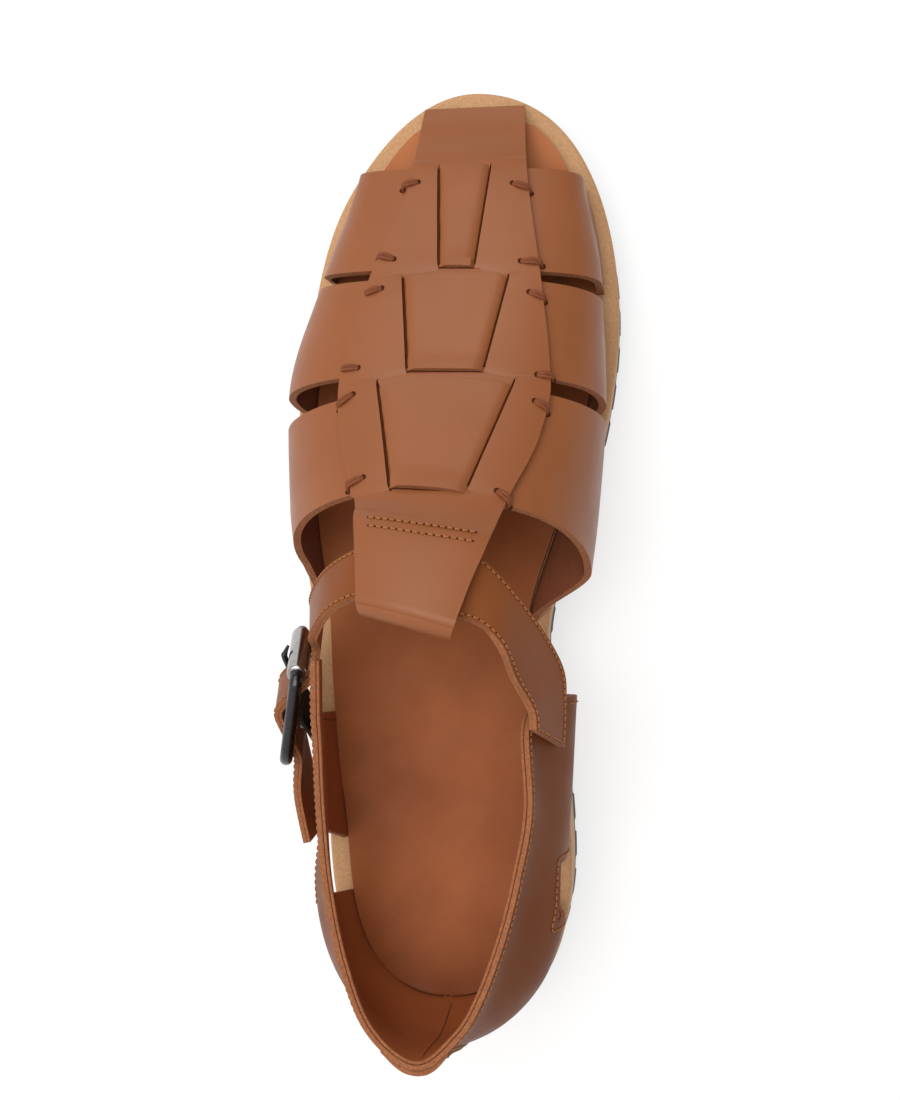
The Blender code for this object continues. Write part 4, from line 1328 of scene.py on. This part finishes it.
def grain_leather(row):
    """Smooth full-grain leather: cloudy colour, fine pores, a soft polish and any painted light or shade
    along the shoe.
    """
    nodes = new_material(row.name)
    clouds = nodes.spread(nodes.noise(CLOUD_SCALE, 5))
    colour = nodes.blend(clouds, opaque(row.light), opaque(row.dark))
    # Painted light and shade: fades along the shoe, such as the insole's lighter toe and darker heel.
    for fade in row.fades:
        colour = nodes.blend(nodes.along_foot(fade.start, fade.end), colour, opaque(fade.colour))
    pores = nodes.bump(nodes.cells(PORE_SCALE), 0.25, PORE_DEPTH)
    normal = nodes.bump(nodes.noise(WRINKLE_SCALE, 6), 0.22, WRINKLE_DEPTH, Normal=pores)
    low, high = (row.roughness + step for step in POLISH_SPREAD)
    polish = nodes.spread(nodes.noise(POLISH_SCALE), low, high)
    looks = {"Base Color": colour, "Normal": normal, "Roughness": polish, "IOR": row.ior}
    nodes.finish(SHADER, {**looks, "Coat Weight": row.coat, "Coat Roughness": 0.32})


def fibre_leather(row):
    """The fibres of a cut edge or of the flesh side."""
    nodes = new_material(row.name)
    fibres = nodes.noise(row.scale, 6, 0.7)
    colour = nodes.blend(nodes.spread(fibres), opaque(row.light), opaque(row.dark))
    normal = nodes.bump(fibres, 0.6, row.depth)
    nodes.finish(SHADER, {"Base Color": colour, "Normal": normal, "Roughness": 0.88})


def plain(row):
    nodes = new_material(row.name)
    dust = nodes.noise(row.grain)
    darker = [GRAIN_SHADE * c for c in row.colour]
    shade = nodes.blend(nodes.spread(dust), opaque(row.colour), opaque(darker))
    looks = {"Base Color": shade, "Normal": nodes.bump(dust, 0.3, row.depth), "IOR": row.ior}
    nodes.finish(SHADER, {**looks, "Roughness": row.roughness, "Metallic": row.metallic})


def make_materials():
    for make, rows in ((grain_leather, GRAIN_ROWS), (fibre_leather, FIBRE_ROWS), (plain, PLAIN_ROWS)):
        for row in rows:
            make(row)


# Stage


def make_floor():
    """White paper that glows a little, so that it comes out white."""
    looks = {"Base Color": FLOOR_GREY, "Emission Color": WHITE, "Emission Strength": 0.65}
    bm = bmesh.new()
    bmesh.ops.create_grid(bm, x_segments=1, y_segments=1, size=FLOOR_HALF)
    mesh = bpy.data.meshes.new("floor")
    bm.to_mesh(mesh)
    bm.free()
    paper = new_material("white_paper").finish(SHADER, {**looks, "Roughness": 0.95})
    mesh.materials.append(paper)
    floor = bpy.data.objects.new("floor", mesh)
    bpy.context.scene.collection.objects.link(floor)


def make_sky():
    """A pale sky that is dim on one side."""
    nodes = Nodes(bpy.data.worlds.new("pale_sky"), "Generated")
    inputs = {0: nodes.place, 1: SKY_DARK_SIDE}
    towards = nodes.add("ShaderNodeVectorMath", inputs, operation="DOT_PRODUCT").outputs["Value"]
    strength = nodes.spread(towards, SKY_BRIGHT, SKY_DIM, -1.0, 1.0)
    bpy.context.scene.world = nodes.finish("Background", {"Color": WHITE, "Strength": strength})
    bpy.context.scene.view_settings.view_transform = "Standard"


def make_light(row):
    light = bpy.data.lights.new(row.name, "AREA")
    light.shape = "RECTANGLE"
    light.size, light.size_y = row.size
    light.energy = row.energy
    obj = bpy.data.objects.new(row.name, light)
    obj.location = row.place
    obj.rotation_euler = (Vector(row.target) - Vector(row.place)).to_track_quat("-Z", "Y").to_euler()
    bpy.context.scene.collection.objects.link(obj)


def make_camera():
    """The photo's angle to the shoe, turned towards the middle of it."""
    data = bpy.data.cameras.new("camera")
    data.lens = CAMERA_LENS
    data.sensor_width = 36.0
    data.clip_start = 0.01
    obj = bpy.data.objects.new("camera", data)
    forward = (CAMERA_TARGET - CAMERA_PLACE).normalized()
    right = forward.cross(Vector((0, 1, 0))).normalized()
    up = right.cross(forward)
    turn = Matrix((right, up, -forward)).transposed().to_4x4()
    obj.matrix_world = Matrix.Translation(CAMERA_PLACE * MM) @ turn
    bpy.context.scene.collection.objects.link(obj)
    bpy.context.scene.camera = obj


def main():
    for obj in list(bpy.data.objects):
        bpy.data.objects.remove(obj)
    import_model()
    make_materials()
    make_outsole()
    make_midsole()
    make_insole()
    for row in STRAP_ROWS:
        make_strap(row)
    make_bar()
    make_slit_shade()
    make_laces()
    make_layers()
    make_backstay()
    make_stitching()
    make_buckle()
    make_elastic()
    make_zigzag()
    make_floor()
    make_sky()
    for row in LIGHT_ROWS:
        make_light(row)
    make_camera()


main()
